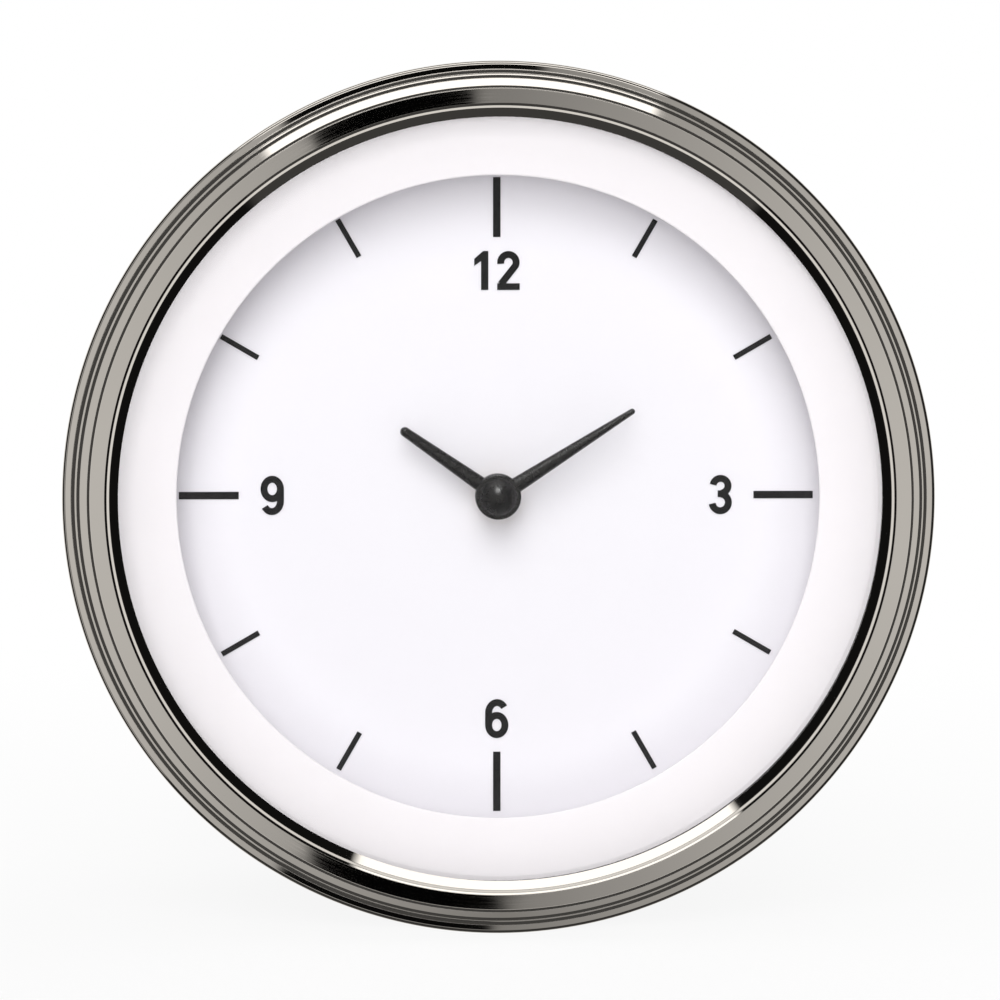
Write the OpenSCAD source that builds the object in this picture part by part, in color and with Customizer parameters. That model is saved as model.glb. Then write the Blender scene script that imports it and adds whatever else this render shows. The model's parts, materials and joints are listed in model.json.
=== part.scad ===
// Round dashboard clock for a panel hole, with a stepped bezel, a quartz movement
// and a rear clamp. Drawn as seen from the front: x right, y up, z towards the eye,
// with z = 0 on the front of the panel; facing() stands it upright.

/* [Bezel] */
// How far the bezel reaches over the panel hole all round
bezel_overlap = 3.55; // [3.4:0.05:4.5]
// How far the bezel stands in front of the panel
bezel_h = 7; // [6.6:0.1:9]
// Thickness of the rear lip that is rolled in under the case flange
lip_t = 0.6; // [0.4:0.05:0.8]
// Radial width of the first, lowest land
land_one_w = 0.65; // [0.5:0.05:0.8]
// Radial run of the rise from the first land to the second, with a narrow ledge halfway
run_one = 0.62; // [0.5:0.02:0.7]
// Radial width of the second land
land_two_w = 0.57; // [0.45:0.01:0.65]
// Radial run of the rise from the second land to the top land
run_two = 0.19; // [0.1:0.01:0.25]
// Radial width of the flat top land
land_top_w = 1.02; // [0.9:0.01:1.1]
// Height of the second land above the first
rise_one = 1.3; // [0.9:0.1:1.4]
// Height of the top land above the second
rise_two = 1.4; // [0.9:0.1:1.6]
// Depth of the inner slope from the top land to the lens
well_depth = 1.8; // [1.4:0.1:2]
// Radial run of the inner slope
well_run = 0.48; // [0.4:0.02:0.6]
// Rounding of the bezel's edges
bezel_edge_r = 0.28; // [0.15:0.01:0.3]
// Thickness of the bezel's side wall
bezel_wall = 0.8; // [0.6:0.05:1]

/* [Lens and rings] */
// Thickness of the glass
lens_t = 2; // [1.6:0.1:2.2]
// Thickness of the rubber ring behind the glass
gasket_t = 0.4; // [0.3:0.05:0.6]
// Width of the white ring that shows inside the bezel
ring_show = 3.95; // [3.4:0.05:5]
// Fall of the white ring's face from its outer to its inner edge
ring_fall = 0.8; // [0.4:0.1:1.2]
// Wall thickness of the white ring
ring_t = 0.9; // [0.7:0.05:1.2]
// Thickness of the lamp board
lamp_board_t = 1; // [0.8:0.1:1.2]
// Lamps on the lamp board
lamp_count = 8; // [6:1:12]

/* [Dial] */
// Depth from the inner edge of the white ring to the dial
dial_depth = 4; // [3.6:0.1:5]
// Thickness of the dial
dial_t = 0.8; // [0.6:0.05:1]
// Thickness of the printed marks
print_t = 0.06; // [0.04:0.01:0.1]
// Length of the four long marks
long_mark_l = 4.2; // [3.6:0.1:4.6]
// Width of the four long marks
long_mark_w = 0.52; // [0.4:0.02:0.7]
// Length of the eight short marks
short_mark_l = 3; // [2.4:0.1:3.4]
// Width of the eight short marks
short_mark_w = 0.37; // [0.3:0.01:0.5]
// Height of the numerals
numeral_h = 2.76; // [2.2:0.02:3]
// Distance of the numerals' middle from the edge of the opening
numeral_inset = 6.55; // [6:0.05:7.2]

/* [Hands] */
// Length of the minute hand
minute_l = 11.3; // [10:0.1:13]
// Width of the minute hand at the hub
minute_base_w = 1.2; // [1:0.05:1.4]
// Width of the minute hand at the tip
minute_tip_w = 0.42; // [0.3:0.02:0.6]
// Length of the hour hand
hour_l = 8.25; // [7:0.05:9]
// Width of the hour hand at the hub
hour_base_w = 1.15; // [1:0.05:1.4]
// Width of the hour hand at the tip
hour_tip_w = 0.68; // [0.5:0.02:0.8]
// Thickness of each hand
hand_t = 0.5; // [0.4:0.05:0.6]
// Height of the hour hand above the dial
hand_lift = 1.5; // [1.2:0.1:1.8]
// Space between the two hands
hand_gap = 0.5; // [0.4:0.05:0.7]
// Hub diameter of the hands
hub_d = 3.2; // [2.8:0.1:3.6]
// Minutes after ten o'clock that the hands show
shown_minutes = 9.6; // [0:0.1:59.9]

/* [Case] */
// Outside diameter of the case
case_d = 53.2; // [52.4:0.1:53.6]
// Depth of the case behind the panel's front face
case_depth = 36; // [34:0.5:44]
// Wall thickness of the case
case_wall = 1.6; // [1.4:0.1:1.8]
// Thickness of the flange that the bezel grips
flange_t = 1.2; // [1:0.1:1.4]

/* [Movement] */
// Thickness of the front plate
plate_t = 1.6; // [1.4:0.1:2]
// Space between the movement plates and the case
plate_gap = 3.5; // [3:0.1:4]
// Rim of the plates left outside the largest gear
plate_rim = 1.4; // [1:0.1:2.5]
// Thickness of the wheels
wheel_t = 0.9; // [0.7:0.05:1.1]
// Radius of the hand arbor
arbor_r = 0.75; // [0.65:0.05:0.8]
// Wall of the hour wheel's pipe
pipe_wall = 0.5; // [0.4:0.05:0.6]
// Radius of the small arbors
pivot_r = 0.5; // [0.4:0.02:0.55]
// Radius of the rotor's magnet
magnet_r = 2.2; // [1.8:0.1:2.4]
// Height of the rotor's magnet
magnet_h = 2; // [1.6:0.1:2.6]
// Direction of the rotor seen from the intermediate wheel
rotor_bearing = 20; // [16:1:24]

/* [Circuit] */
// Thickness of the circuit board
board_t = 1.6; // [1.2:0.1:1.6]
// Height of the bosses that carry the board
boss_h = 3.8; // [3.4:0.1:4.4]
// Width of the blade terminals
blade_w = 6.3; // [4.8:0.1:6.4]
// Thickness of the blade terminals
blade_t = 0.8; // [0.5:0.1:0.9]
// Distance between the blade terminals
blade_pitch = 8; // [7.4:0.1:8.4]
// Length of the blades behind the terminal block
blade_l = 8; // [7:0.5:9]

/* [Setting knob] */
// Diameter of the setting knob
knob_d = 8; // [7:0.2:9]
// Length of the setting knob
knob_l = 7; // [5:0.5:9]
// Radius of the setting stem
stem_r = 1; // [0.9:0.05:1.1]

/* [Clamp] */
// Room between the bezel's seat and the clamp's feet as drawn
panel_gap = 6; // [4.5:0.1:6.5]
// Thickness of the clamp strip
clamp_t = 1.5; // [1.2:0.1:1.8]
// Width of the clamp strip
clamp_w = 12; // [10:0.5:13]
// Space between the case and each clamp leg
clamp_clear = 1; // [0.95:0.05:1.3]
// Radius of the studs
stud_r = 2; // [1.8:0.05:2.1]
// Distance of each stud from the middle
stud_x = 14; // [13.5:0.1:15]
// How far the clamp can be tightened from where it is drawn
tighten = 5.3; // [4:0.1:5.4]
// How far the clamp can be backed off from where it is drawn
back_off = 6; // [5:0.1:7]
// Diameter of the thumb nuts
nut_d = 10; // [9:0.2:11]
// Length of the thumb nuts
nut_l = 7; // [6:0.5:8]

/* [Hidden] */
$fn = 96;
fit = 0.02;       // gap of pressed and seated round parts
run = 0.05;       // radial gap of turning shafts
loose = 0.25;     // gap of parts that only lie beside each other
layer = 0.4;      // axial gap between wheels

case_r = case_d / 2;
bezel_r = case_r + bezel_overlap;
land_one_r = bezel_r - land_one_w;
ledge_r = land_one_r - run_one / 2;
ledge_w = run_one / 4;
land_two_out = land_one_r - run_one;
land_two_r = land_two_out - land_two_w;
land_top_out = land_two_r - run_two;
land_top_r = land_top_out - land_top_w;
roll_w = 0.32;
window_r = land_top_r - roll_w - well_run;
land_two_z = bezel_h - rise_two;
land_one_z = land_two_z - rise_one;
ledge_z = land_one_z + rise_one / 2;
cavity_r = land_one_r - bezel_wall;
inner_r = cavity_r - loose;

lip_in = case_r + 1;

lens_front = bezel_h - well_depth;
lens_rear = lens_front - lens_t;
ring_top = lens_rear - gasket_t;
gasket_in = window_r + 0.35;
aperture_r = window_r - ring_show;
numeral_r = aperture_r - numeral_inset;
aperture_z = ring_top - ring_fall;
flange_front = lip_t + flange_t;
dial_front = aperture_z - dial_depth;
dial_rear = dial_front - dial_t;

front_wall = case_wall - 0.7;
seat_r = case_r - front_wall;
bore_r = case_r - case_wall;
dial_r = seat_r - 0.1;
floor_in = case_wall - case_depth;
case_rear = -case_depth;

hour_z = dial_front + hand_lift;
minute_z = hour_z + hand_t + hand_gap;
cap_z = minute_z + hand_t;
cap_h = 1;
hub_r = hub_d / 2;
cap_r = hub_r - 0.3;
minute_deg = shown_minutes * 6;
hour_deg = (10 + shown_minutes / 60) * 30;

plate_front = dial_rear;
plate_rear = plate_front - plate_t;
plate_r = bore_r - plate_gap;

rotor_n = 8;
third_n = 60;
third_pinion_n = 8;
center_n = 64;
cannon_n = 10;
minute_n = 30;
minute_pinion_n = 8;
hour_n = 32;
set_n = 12;
tooth_m = (plate_r - plate_rim) / ((center_n + third_pinion_n + third_n) / 2 + 1);
third_cd = (center_n + third_pinion_n) * tooth_m / 2;
rotor_cd = (third_n + rotor_n) * tooth_m / 2;
minute_cd = (cannon_n + minute_n) * tooth_m / 2;
set_cd = minute_cd + (minute_n + set_n) * tooth_m / 2;
third_xy = [0, -third_cd];
rotor_xy = third_xy + rotor_cd * [cos(rotor_bearing), sin(rotor_bearing)];
minute_xy = [0, minute_cd];
set_xy = [0, set_cd];
pipe_r = arbor_r + run + pipe_wall;
minute_post_r = 0.45;

hour_wheel_z = plate_rear - layer;
minute_wheel_z = hour_wheel_z - wheel_t - layer;
cannon_front = minute_wheel_z + layer / 4;
cannon_rear = minute_wheel_z - wheel_t - layer / 2;
center_wheel_z = cannon_rear - layer;
third_wheel_z = center_wheel_z - wheel_t - 2 * layer;
rotor_front = third_wheel_z + layer / 2;
rotor_rear = third_wheel_z - wheel_t - layer / 2;
magnet_z = rotor_rear - 2 * layer;
bridge_front = magnet_z - magnet_h - 2 * layer;
bridge_t = 1.4;
bridge_rear = bridge_front - bridge_t;

pillar_r = 1.6;
pillar_ring = plate_r - 2;
pillar_at = [35, 145, 225];
foot_r = 0.8;
foot_ring = plate_r - 4.5;
foot_at = [10, 130, 250];

motor_out = rotor_xy / norm(rotor_xy);
motor_turn = atan2(motor_out[1], motor_out[0]);
stator_t = 1;
stator_z = magnet_z - (magnet_h - stator_t) / 2;
stator_half = 7.8;
stator_w = 2 * magnet_r + 2.4;
ear_w = 2.6;
coil_off = stator_w / 2 + 3;
coil_half = stator_half - ear_w;
coil_z = stator_z + stator_t / 2;
coil_flange = 4.6;
post_r = 0.7;

board_rear = floor_in + boss_h;
board_front = board_rear + board_t;
board_r = bore_r - 0.1;
boss_r = 2.4;
boss_ring = bore_r - 5;
boss_at = [45, 135, 270];
screw_r = 0.95;
thread_l = 4.5;
head_h = 1.3;
pin_r = 0.35;
lamp_w = 1;
lamp_l = 1.6;
lamp_h = 0.7;
lamp_ring = (aperture_r + ring_t + seat_r) / 2;
lamp_pin_at = [195, 345];
blade_gap = 1.45;
blade_y = boss_r + blade_w / 2 + blade_gap - boss_ring;
block_t = 2.6;
block_rear = case_rear - block_t;

bush_r = stem_r + run + 1.4;
bush_rear = case_rear - 1;
knob_front = bush_rear - loose;

leg_in = case_r + clamp_clear;
leg_out = leg_in + clamp_t;
jam_t = 2.4;
jam_rear = case_rear - jam_t;
bridge_in = jam_rear - 0.4 - tighten;
bridge_out = bridge_in - clamp_t;
foot_z = -panel_gap;
washer_t = 0.8;
nut_z = bridge_out - washer_t;
stud_end = nut_z - nut_l - back_off - 1.2;

// Stand the clock up: its face looks along minus y.
module facing() rotate([90, 0, 0]) children();

// Point at an angle on a circle.
function polar(r, a) = [r * cos(a), r * sin(a)];

// Points of an elliptic arc.
function arc_points(c, rx, ry, a0, a1, n) =
  [for (i = [0 : n]) let (a = a0 + (a1 - a0) * i / n) c + [rx * cos(a), ry * sin(a)]];

function unit(v) = v / norm(v);

// Direction of a path at one of its points.
function heading(p, i) =
  i == 0 ? unit(p[1] - p[0])
  : i == len(p) - 1 ? unit(p[i] - p[i - 1])
  : unit(unit(p[i] - p[i - 1]) + unit(p[i + 1] - p[i]));

// Outline of a pen stroke of width w along a path.
function stroke(p, w) = concat(
  [for (i = [0 : len(p) - 1]) let (h = heading(p, i)) p[i] + w / 2 * [-h[1], h[0]]],
  [for (i = [len(p) - 1 : -1 : 0]) let (h = heading(p, i)) p[i] - w / 2 * [-h[1], h[0]]]);

// One rounded corner p between a and b.
function corner(a, p, b, r, n) =
  let (u = unit(a - p), v = unit(b - p), half = acos(u * v) / 2)
  let (c = p + unit(u + v) * r / sin(half), s = p + u * r / tan(half), e = p + v * r / tan(half))
  let (a0 = atan2(s[1] - c[1], s[0] - c[0]), a1 = atan2(e[1] - c[1], e[0] - c[0]))
  let (turn = a1 - a0, d = turn > 180 ? turn - 360 : turn < -180 ? turn + 360 : turn)
  [for (i = [0 : n]) c + polar(r, a0 + d * i / n)];

// Closed outline from corners given as [x, y, rounding radius].
function rounded(q, n = 4) = [for (i = [0 : len(q) - 1])
  let (l = len(q), p = q[i], a = q[(i + l - 1) % l], b = q[(i + 1) % l])
  each p[2] > 0 ? corner([a[0], a[1]], [p[0], p[1]], [b[0], b[1]], p[2], n) : [[p[0], p[1]]]];

// Gear outline: radial flanks below the pitch circle and narrowing tips above it.
// thick is the tooth's share of the pitch, tip the share of the tooth left at its top.
function gear_points(n, up, down, thick, tip) =
  let (r = n * tooth_m / 2, half = 180 / n * thick)
  [for (k = [0 : n - 1]) let (a = 360 * k / n) each [
    polar(r - down * tooth_m, a - half), polar(r, a - half), polar(r + up * tooth_m, a - half * tip),
    polar(r + up * tooth_m, a + half * tip), polar(r, a + half), polar(r - down * tooth_m, a + half)]];

// Large gears have low-cut teeth, pinions have thin leaves.
function wheel_points(n) = gear_points(n, 1, 1.35, 0.45, 0.4);
function leaf_points(n) = gear_points(n, 0.65, 1.35, 0.4, 0.5);

// Turn that puts a gear b, lying in a direction from a gear a, into mesh with it.
function mesh_turn(na, turn_a, nb, direction) =
  direction + 180 - 360 / nb * (0.5 - na * (direction - turn_a) / 360);

// Outline of a knurled edge.
function knurl_points(r, cut, n) = [for (k = [0 : 2 * n - 1])
  polar(k % 2 == 0 ? r : r - cut, 180 * k / n)];

// Ring or disc between two heights.
module ring(r_out, r_in, z_top, z_low) {
  translate([0, 0, z_low]) difference() {
    cylinder(r = r_out, h = z_top - z_low);
    translate([0, 0, -1]) cylinder(r = r_in, h = z_top - z_low + 2);
  }
}

module disc(r, z_top, z_low) {
  translate([0, 0, z_low]) cylinder(r = r, h = z_top - z_low);
}

// Flat outline raised between two heights.
module slab(points, z_top, z_low) {
  translate([0, 0, z_low]) linear_extrude(z_top - z_low) polygon(points);
}

// Place at a plan position.
module at(xy) translate([xy[0], xy[1], 0]) children();

module bezel() color([0.72, 0.7, 0.67]) facing() rotate_extrude($fn = 180) polygon(rounded([
  [lip_in, 0, 0], [bezel_r, 0, bezel_edge_r], [bezel_r, land_one_z, bezel_edge_r],
  [land_one_r, land_one_z, bezel_edge_r / 2], [ledge_r, ledge_z, bezel_edge_r / 4],
  [ledge_r - ledge_w, ledge_z, bezel_edge_r / 4], [land_two_out, land_two_z, bezel_edge_r / 2],
  [land_two_r, land_two_z, bezel_edge_r / 2], [land_top_out, bezel_h, bezel_edge_r / 2],
  [land_top_r, bezel_h, bezel_edge_r / 2], [land_top_r - roll_w, bezel_h - roll_w / 2, bezel_edge_r / 2],
  [window_r + 0.15, lens_front + 0.25, bezel_edge_r / 2], [window_r, lens_front + 0.15, 0],
  [window_r, lens_front, 0],
  [cavity_r, lens_front, 0], [cavity_r, lip_t, 0], [lip_in, lip_t, 0]]));

module lens() color([0.85, 0.92, 0.95, 0.35]) facing() disc(inner_r, lens_front, lens_rear);

module lens_gasket() color([0.1, 0.1, 0.1]) facing() ring(inner_r, gasket_in, lens_rear, ring_top);

// White ring: a mild cone under the glass with a wall down to the dial and a skirt on the case.
module spacer_ring() color([0.95, 0.95, 0.95]) facing() rotate_extrude($fn = 180) polygon(rounded([
  [aperture_r, dial_front, 0], [aperture_r, aperture_z, 0.2], [gasket_in - 0.2, ring_top, 0],
  [inner_r, ring_top, 0], [inner_r, flange_front, 0], [inner_r - ring_t, flange_front, 0],
  [inner_r - ring_t, ring_top - ring_t, 0], [seat_r - loose, ring_top - ring_t, 0],
  [aperture_r + ring_t, aperture_z - ring_t, 0], [aperture_r + ring_t, dial_front, 0]]));

module lamp_board() color([0.1, 0.3, 0.15]) facing()
  ring(seat_r - loose, aperture_r + ring_t + loose, dial_front + lamp_board_t, dial_front);

module lamps() color([0.95, 0.9, 0.7]) facing() for (k = [0 : lamp_count - 1])
  rotate(360 * (k + 0.5) / lamp_count)
    translate([lamp_ring - lamp_w / 2, -lamp_l / 2, dial_front + lamp_board_t])
      cube([lamp_w, lamp_l, lamp_h]);

module lamp_pins() color([0.8, 0.7, 0.4]) facing() for (a = lamp_pin_at)
  at(polar(lamp_ring, a)) disc(pin_r, dial_front, board_front);

module dial() color([0.97, 0.97, 0.98]) facing() difference() {
  disc(dial_r, dial_front, dial_rear);
  disc(pipe_r + loose, dial_front + 1, dial_rear - 1);
  for (a = lamp_pin_at) at(polar(lamp_ring, a)) disc(pin_r + run, dial_front + 1, dial_rear - 1);
}

// Bars for the hours, long at the four quarters.
module hour_marks() color([0.08, 0.08, 0.08]) facing() for (k = [0 : 11]) {
  l = k % 3 == 0 ? long_mark_l : short_mark_l;
  w = k % 3 == 0 ? long_mark_w : short_mark_w;
  rotate(-30 * k) translate([-w / 2, aperture_r - l, dial_front]) cube([w, l, print_t]);
}

// Numerals are drawn on a height of 39 units.
pen = 6.9;
numeral_k = numeral_h / 39;

// One inked outline.
module ink(points) linear_extrude(print_t) polygon(points * numeral_k);

module numeral_one() ink([[3.6, 19.3], [3.6, -19.3], [-3.6, -19.3], [-3.6, 9.4],
  [-10.4, 4.6], [-10.4, 11.6], [-1.6, 19.3]]);

module numeral_two() union() {
  ink(stroke(concat(arc_points([0, 8], 7.7, 7.9, 190, -22, 20), [[-7.5, -13.6]]), pen));
  ink([[-11.2, -19.3], [11.2, -19.3], [11.2, pen - 19.6], [-11.2, pen - 19.6]]);
}

module numeral_three() union() {
  ink(stroke(arc_points([0.2, 8.9], 7.5, 7.4, 172, -80, 20), pen));
  ink(stroke(arc_points([0, -7.7], 8.1, 8.4, 82, -172, 20), pen));
  ink([[-2.6, -2.4], [2.4, -2.4], [2.4, pen - 2.6], [-2.6, pen - 2.6]]);
}

module numeral_six() union() {
  difference() {
    ink(arc_points([0, -6.5], 11.6, 13.1, 0, 350, 35));
    translate([0, 0, -1]) linear_extrude(print_t + 2)
      polygon(arc_points([0, -6.5], 4.7, 6.2, 0, 350, 35) * numeral_k);
  }
  ink(stroke(concat([[-8.2, -6.5], [-8.2, 0]], arc_points([0.3, 5.4], 8.5, 10.6, 172, 34, 18)), pen));
}

module numerals() color([0.08, 0.08, 0.08]) facing() translate([0, 0, dial_front]) {
  translate([-12 * numeral_k, numeral_r]) numeral_one();
  translate([11.6 * numeral_k, numeral_r]) numeral_two();
  translate([numeral_r, 0]) numeral_three();
  translate([0, -numeral_r]) numeral_six();
  translate([-numeral_r, 0]) rotate(180) numeral_six();
}

module dial_feet() color([0.75, 0.7, 0.5]) facing() for (a = foot_at)
  at(polar(foot_ring, a)) disc(foot_r, dial_rear, plate_rear - 1.2);

module foot_clips() color([0.6, 0.6, 0.62]) facing() for (a = foot_at)
  at(polar(foot_ring, a)) ring(foot_r + 1, foot_r + fit, plate_rear, plate_rear - 0.5);

// Cup with a front flange, a ledge for the dial, and bosses for the board.
module case() color([0.1, 0.1, 0.1]) facing() difference() {
  union() {
    rotate_extrude($fn = 180) polygon(rounded([
      [seat_r, flange_front, 0], [inner_r, flange_front, 0], [inner_r, lip_t, 0], [case_r, lip_t, 0],
      [case_r, case_rear, 1], [0, case_rear, 0], [0, floor_in, 0], [bore_r, floor_in, 0.6],
      [bore_r, dial_rear, 0], [seat_r, dial_rear, 0]]));
    for (a = boss_at) at(polar(boss_ring, a)) disc(boss_r, board_rear, floor_in - 0.5);
  }
  for (a = boss_at) at(polar(boss_ring, a)) disc(screw_r + fit, board_rear + 1, floor_in);
  for (s = [-1, 1]) at([s * stud_x, 0]) disc(stud_r + fit, floor_in + 1, case_rear - 1);
  at(set_xy) disc(bush_r + fit, floor_in + 1, case_rear - 1);
  for (k = [-1 : 1]) translate([k * blade_pitch - blade_t, blade_y - blade_w / 2 - 0.4, case_rear - 1])
    cube([2 * blade_t, blade_w + 0.8, case_wall + 2]);
}

module front_plate() color([0.75, 0.65, 0.4]) facing() difference() {
  disc(plate_r, plate_front, plate_rear);
  disc(pipe_r + run, plate_front + 1, plate_rear - 1);
  at(minute_xy) disc(minute_post_r + fit, plate_front + 1, plate_rear - 1);
  for (p = [third_xy, rotor_xy, set_xy]) at(p) disc(pivot_r + run, plate_front - 0.4, plate_rear - 1);
  for (a = foot_at) at(polar(foot_ring, a)) disc(foot_r + fit, plate_front + 1, plate_rear - 1);
}

module pillars() color([0.8, 0.7, 0.42]) facing() for (a = pillar_at)
  at(polar(pillar_ring, a)) difference() {
    disc(pillar_r, plate_rear, bridge_front);
    disc(screw_r + fit, bridge_front + thread_l + 0.5, bridge_front - 1);
  }

module rear_plate() color([0.75, 0.65, 0.4]) facing() difference() {
  disc(plate_r, bridge_front, bridge_rear);
  disc(arbor_r + run, bridge_front + 1, bridge_rear - 1);
  for (p = [third_xy, rotor_xy]) at(p) disc(pivot_r + run, bridge_front + 1, bridge_rear - 1);
  at(set_xy) disc(stem_r + run, bridge_front + 1, bridge_rear - 1);
  for (a = pillar_at) at(polar(pillar_ring, a)) disc(screw_r + fit, bridge_front + 1, bridge_rear - 1);
  motor_place() for (s = [-1, 1]) {
    at([coil_off, s * (stator_half - ear_w / 2)]) disc(post_r + fit, bridge_front + 1, bridge_rear - 1);
    at([coil_off, s * (coil_half - 0.4)]) disc(pin_r + loose, bridge_front + 1, bridge_rear - 1);
  }
}

// Cheese-head screw whose head rests at a height and whose shank runs towards the eye.
module screw(z_seat, head_r, shank_l, out) {
  difference() {
    disc(head_r, max(z_seat, z_seat + out * head_h), min(z_seat, z_seat + out * head_h));
    translate([-head_r, -0.25, z_seat + out * head_h - 0.5]) cube([2 * head_r, 0.5, 1]);
  }
  disc(screw_r, max(z_seat, z_seat - out * shank_l), min(z_seat, z_seat - out * shank_l));
}

module plate_screws() color([0.6, 0.6, 0.62]) facing() for (a = pillar_at)
  at(polar(pillar_ring, a)) screw(bridge_rear, pillar_r + 0.3, bridge_t + thread_l, -1);

module minute_wheel_post() color([0.6, 0.6, 0.62]) facing() at(minute_xy)
  disc(minute_post_r, plate_front - 0.2, minute_wheel_z - wheel_t - 0.2);

// Frame of the motor parts: x outwards from the middle, origin on the rotor.
module motor_place() at(rotor_xy) rotate(motor_turn) children();

module stator() color([0.55, 0.55, 0.58]) facing() motor_place() difference() {
  union() {
    translate([-stator_w / 2, -stator_half, stator_z - stator_t]) cube([stator_w, 2 * stator_half, stator_t]);
    for (s = [-1, 1]) translate([0, s * (stator_half - ear_w / 2) - ear_w / 2, stator_z - stator_t])
      cube([coil_off + 1.4, ear_w, stator_t]);
  }
  disc(magnet_r + 0.4, stator_z + 1, stator_z - stator_t - 1);
  for (s = [-1, 1]) at([coil_off, s * (stator_half - ear_w / 2)])
    disc(post_r + fit, stator_z + 1, stator_z - stator_t - 1);
}

module coil_core() color([0.5, 0.5, 0.53]) facing() motor_place() difference() {
  translate([coil_off - 1.1, -stator_half, stator_z]) cube([2.2, 2 * stator_half, stator_t]);
  for (s = [-1, 1]) at([coil_off, s * (stator_half - ear_w / 2)])
    disc(post_r + fit, stator_z + stator_t + 1, stator_z - 1);
}

// Spool with square end plates on the core.
module coil_bobbin() color([0.85, 0.82, 0.75]) facing() motor_place() translate([coil_off, 0, coil_z]) difference() {
  union() {
    rotate([90, 0, 0]) cylinder(r = 1.5, h = 2 * coil_half, center = true);
    for (s = [-1, 1]) translate([-coil_flange / 2, s * (coil_half - 0.4) - 0.4, -coil_flange / 2])
      cube([coil_flange, 0.8, coil_flange]);
  }
  translate([-1.1 - fit, -coil_half - 1, -stator_t / 2 - fit])
    cube([2.2 + 2 * fit, 2 * coil_half + 2, stator_t + 2 * fit]);
}

module coil_winding() color([0.7, 0.35, 0.15]) facing() motor_place() translate([coil_off, 0, coil_z])
  rotate([90, 0, 0]) difference() {
    cylinder(r = 2.1, h = 2 * coil_half - 1.6 - 2 * fit, center = true);
    cylinder(r = 1.5 + fit, h = 2 * coil_half, center = true);
  }

module motor_posts() color([0.6, 0.6, 0.62]) facing() motor_place() for (s = [-1, 1])
  at([coil_off, s * (stator_half - ear_w / 2)]) {
    disc(post_r + 0.5, stator_z + stator_t + 0.5, stator_z + stator_t);
    disc(post_r, stator_z + stator_t, bridge_rear + 0.2);
    ring(post_r + 0.5, post_r / 2, stator_z - stator_t, bridge_front);
  }

module motor_pins() color([0.8, 0.7, 0.4]) facing() motor_place() for (s = [-1, 1])
  at([coil_off, s * (coil_half - 0.4)]) disc(pin_r, coil_z - coil_flange / 2, board_front);

module circuit_board() color([0.1, 0.35, 0.18]) facing() difference() {
  disc(board_r, board_front, board_rear);
  at(set_xy) disc(stem_r + 1, board_front + 1, board_rear - 1);
  for (a = boss_at) at(polar(boss_ring, a)) disc(screw_r + fit, board_front + 1, board_rear - 1);
}

module board_screws() color([0.6, 0.6, 0.62]) facing() for (a = boss_at)
  at(polar(boss_ring, a)) screw(board_front, screw_r + 1, board_t + boss_h - 0.4, 1);

module crystal_can() color([0.75, 0.75, 0.77]) facing()
  translate([-13, -9, board_front + 1.5]) rotate([0, 90, 0]) cylinder(r = 1.5, h = 8);

module timer_chip() color([0.08, 0.08, 0.08]) facing()
  translate([-2.5, -6, board_front]) cube([5, 6.2, 1.6]);

module capacitor() color([0.15, 0.2, 0.4]) facing() at([-11, 6]) disc(3.15, board_front + 8, board_front);

module regulator() color([0.1, 0.1, 0.1]) facing() translate([8, 3, board_front]) cube([6.5, 6, 2.3]);

// Flat blade with a narrowed tip and a catch hole.
module blade() {
  z_end = block_rear - blade_l;
  rotate([90, 0, 90]) translate([0, 0, -blade_t / 2]) linear_extrude(blade_t) difference() {
    polygon([[-blade_w / 2, board_rear], [blade_w / 2, board_rear], [blade_w / 2, z_end + 1.2],
      [blade_w / 2 - 1, z_end], [1 - blade_w / 2, z_end], [-blade_w / 2, z_end + 1.2]]);
    translate([0, z_end + 3.4]) circle(r = 0.85, $fn = 48);
  }
}

module blade_terminals() color([0.8, 0.72, 0.45]) facing() for (k = [-1 : 1])
  at([k * blade_pitch, blade_y]) blade();

module terminal_block() color([0.16, 0.16, 0.17]) facing() difference() {
  translate([-blade_pitch - 3.4, blade_y - blade_w / 2 - 1.6, block_rear])
    cube([2 * blade_pitch + 6.8, blade_w + 3.2, block_t]);
  for (k = [-1 : 1])
    translate([k * blade_pitch - blade_t / 2 - fit, blade_y - blade_w / 2 - fit, block_rear - 1])
      cube([blade_t + 2 * fit, blade_w + 2 * fit, block_t + 2]);
}

// Headed studs through the case's rear wall.
module mounting_studs() color([0.7, 0.7, 0.7]) facing() for (s = [-1, 1]) at([s * stud_x, 0]) {
  disc(stud_r + 1.4, floor_in + 1.5, floor_in);
  disc(stud_r, floor_in + 0.5, stud_end);
}

module jam_nuts() color([0.7, 0.7, 0.7]) facing() for (s = [-1, 1]) at([s * stud_x, 0]) difference() {
  translate([0, 0, jam_rear]) rotate(30) cylinder(r = (stud_r + 1.5) * 2 / sqrt(3), h = jam_t, $fn = 6);
  disc(stud_r + fit, case_rear + 1, jam_rear - 1);
}

module stem_bush() color([0.8, 0.7, 0.42]) facing() at(set_xy) difference() {
  union() {
    disc(bush_r, floor_in + 0.4, case_rear);
    disc(bush_r + 0.8, case_rear, bush_rear);
  }
  disc(stem_r + run, floor_in + 1, bush_rear - 1);
}

// Tapered hand with a round hub and a round tip, pointing to twelve.
module hand(l, base_w, tip_w, bore) {
  difference() {
    union() {
      circle(r = hub_r);
      polygon([[-base_w / 2, 0], [base_w / 2, 0], [tip_w / 2, l - tip_w / 2], [-tip_w / 2, l - tip_w / 2]]);
      translate([0, l - tip_w / 2]) circle(r = tip_w / 2, $fn = 48);
    }
    circle(r = bore);
  }
}

module minute_hand() color([0.12, 0.12, 0.12]) facing() rotate(-minute_deg)
  translate([0, 0, minute_z]) linear_extrude(hand_t) hand(minute_l, minute_base_w, minute_tip_w, arbor_r + fit);

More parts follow.
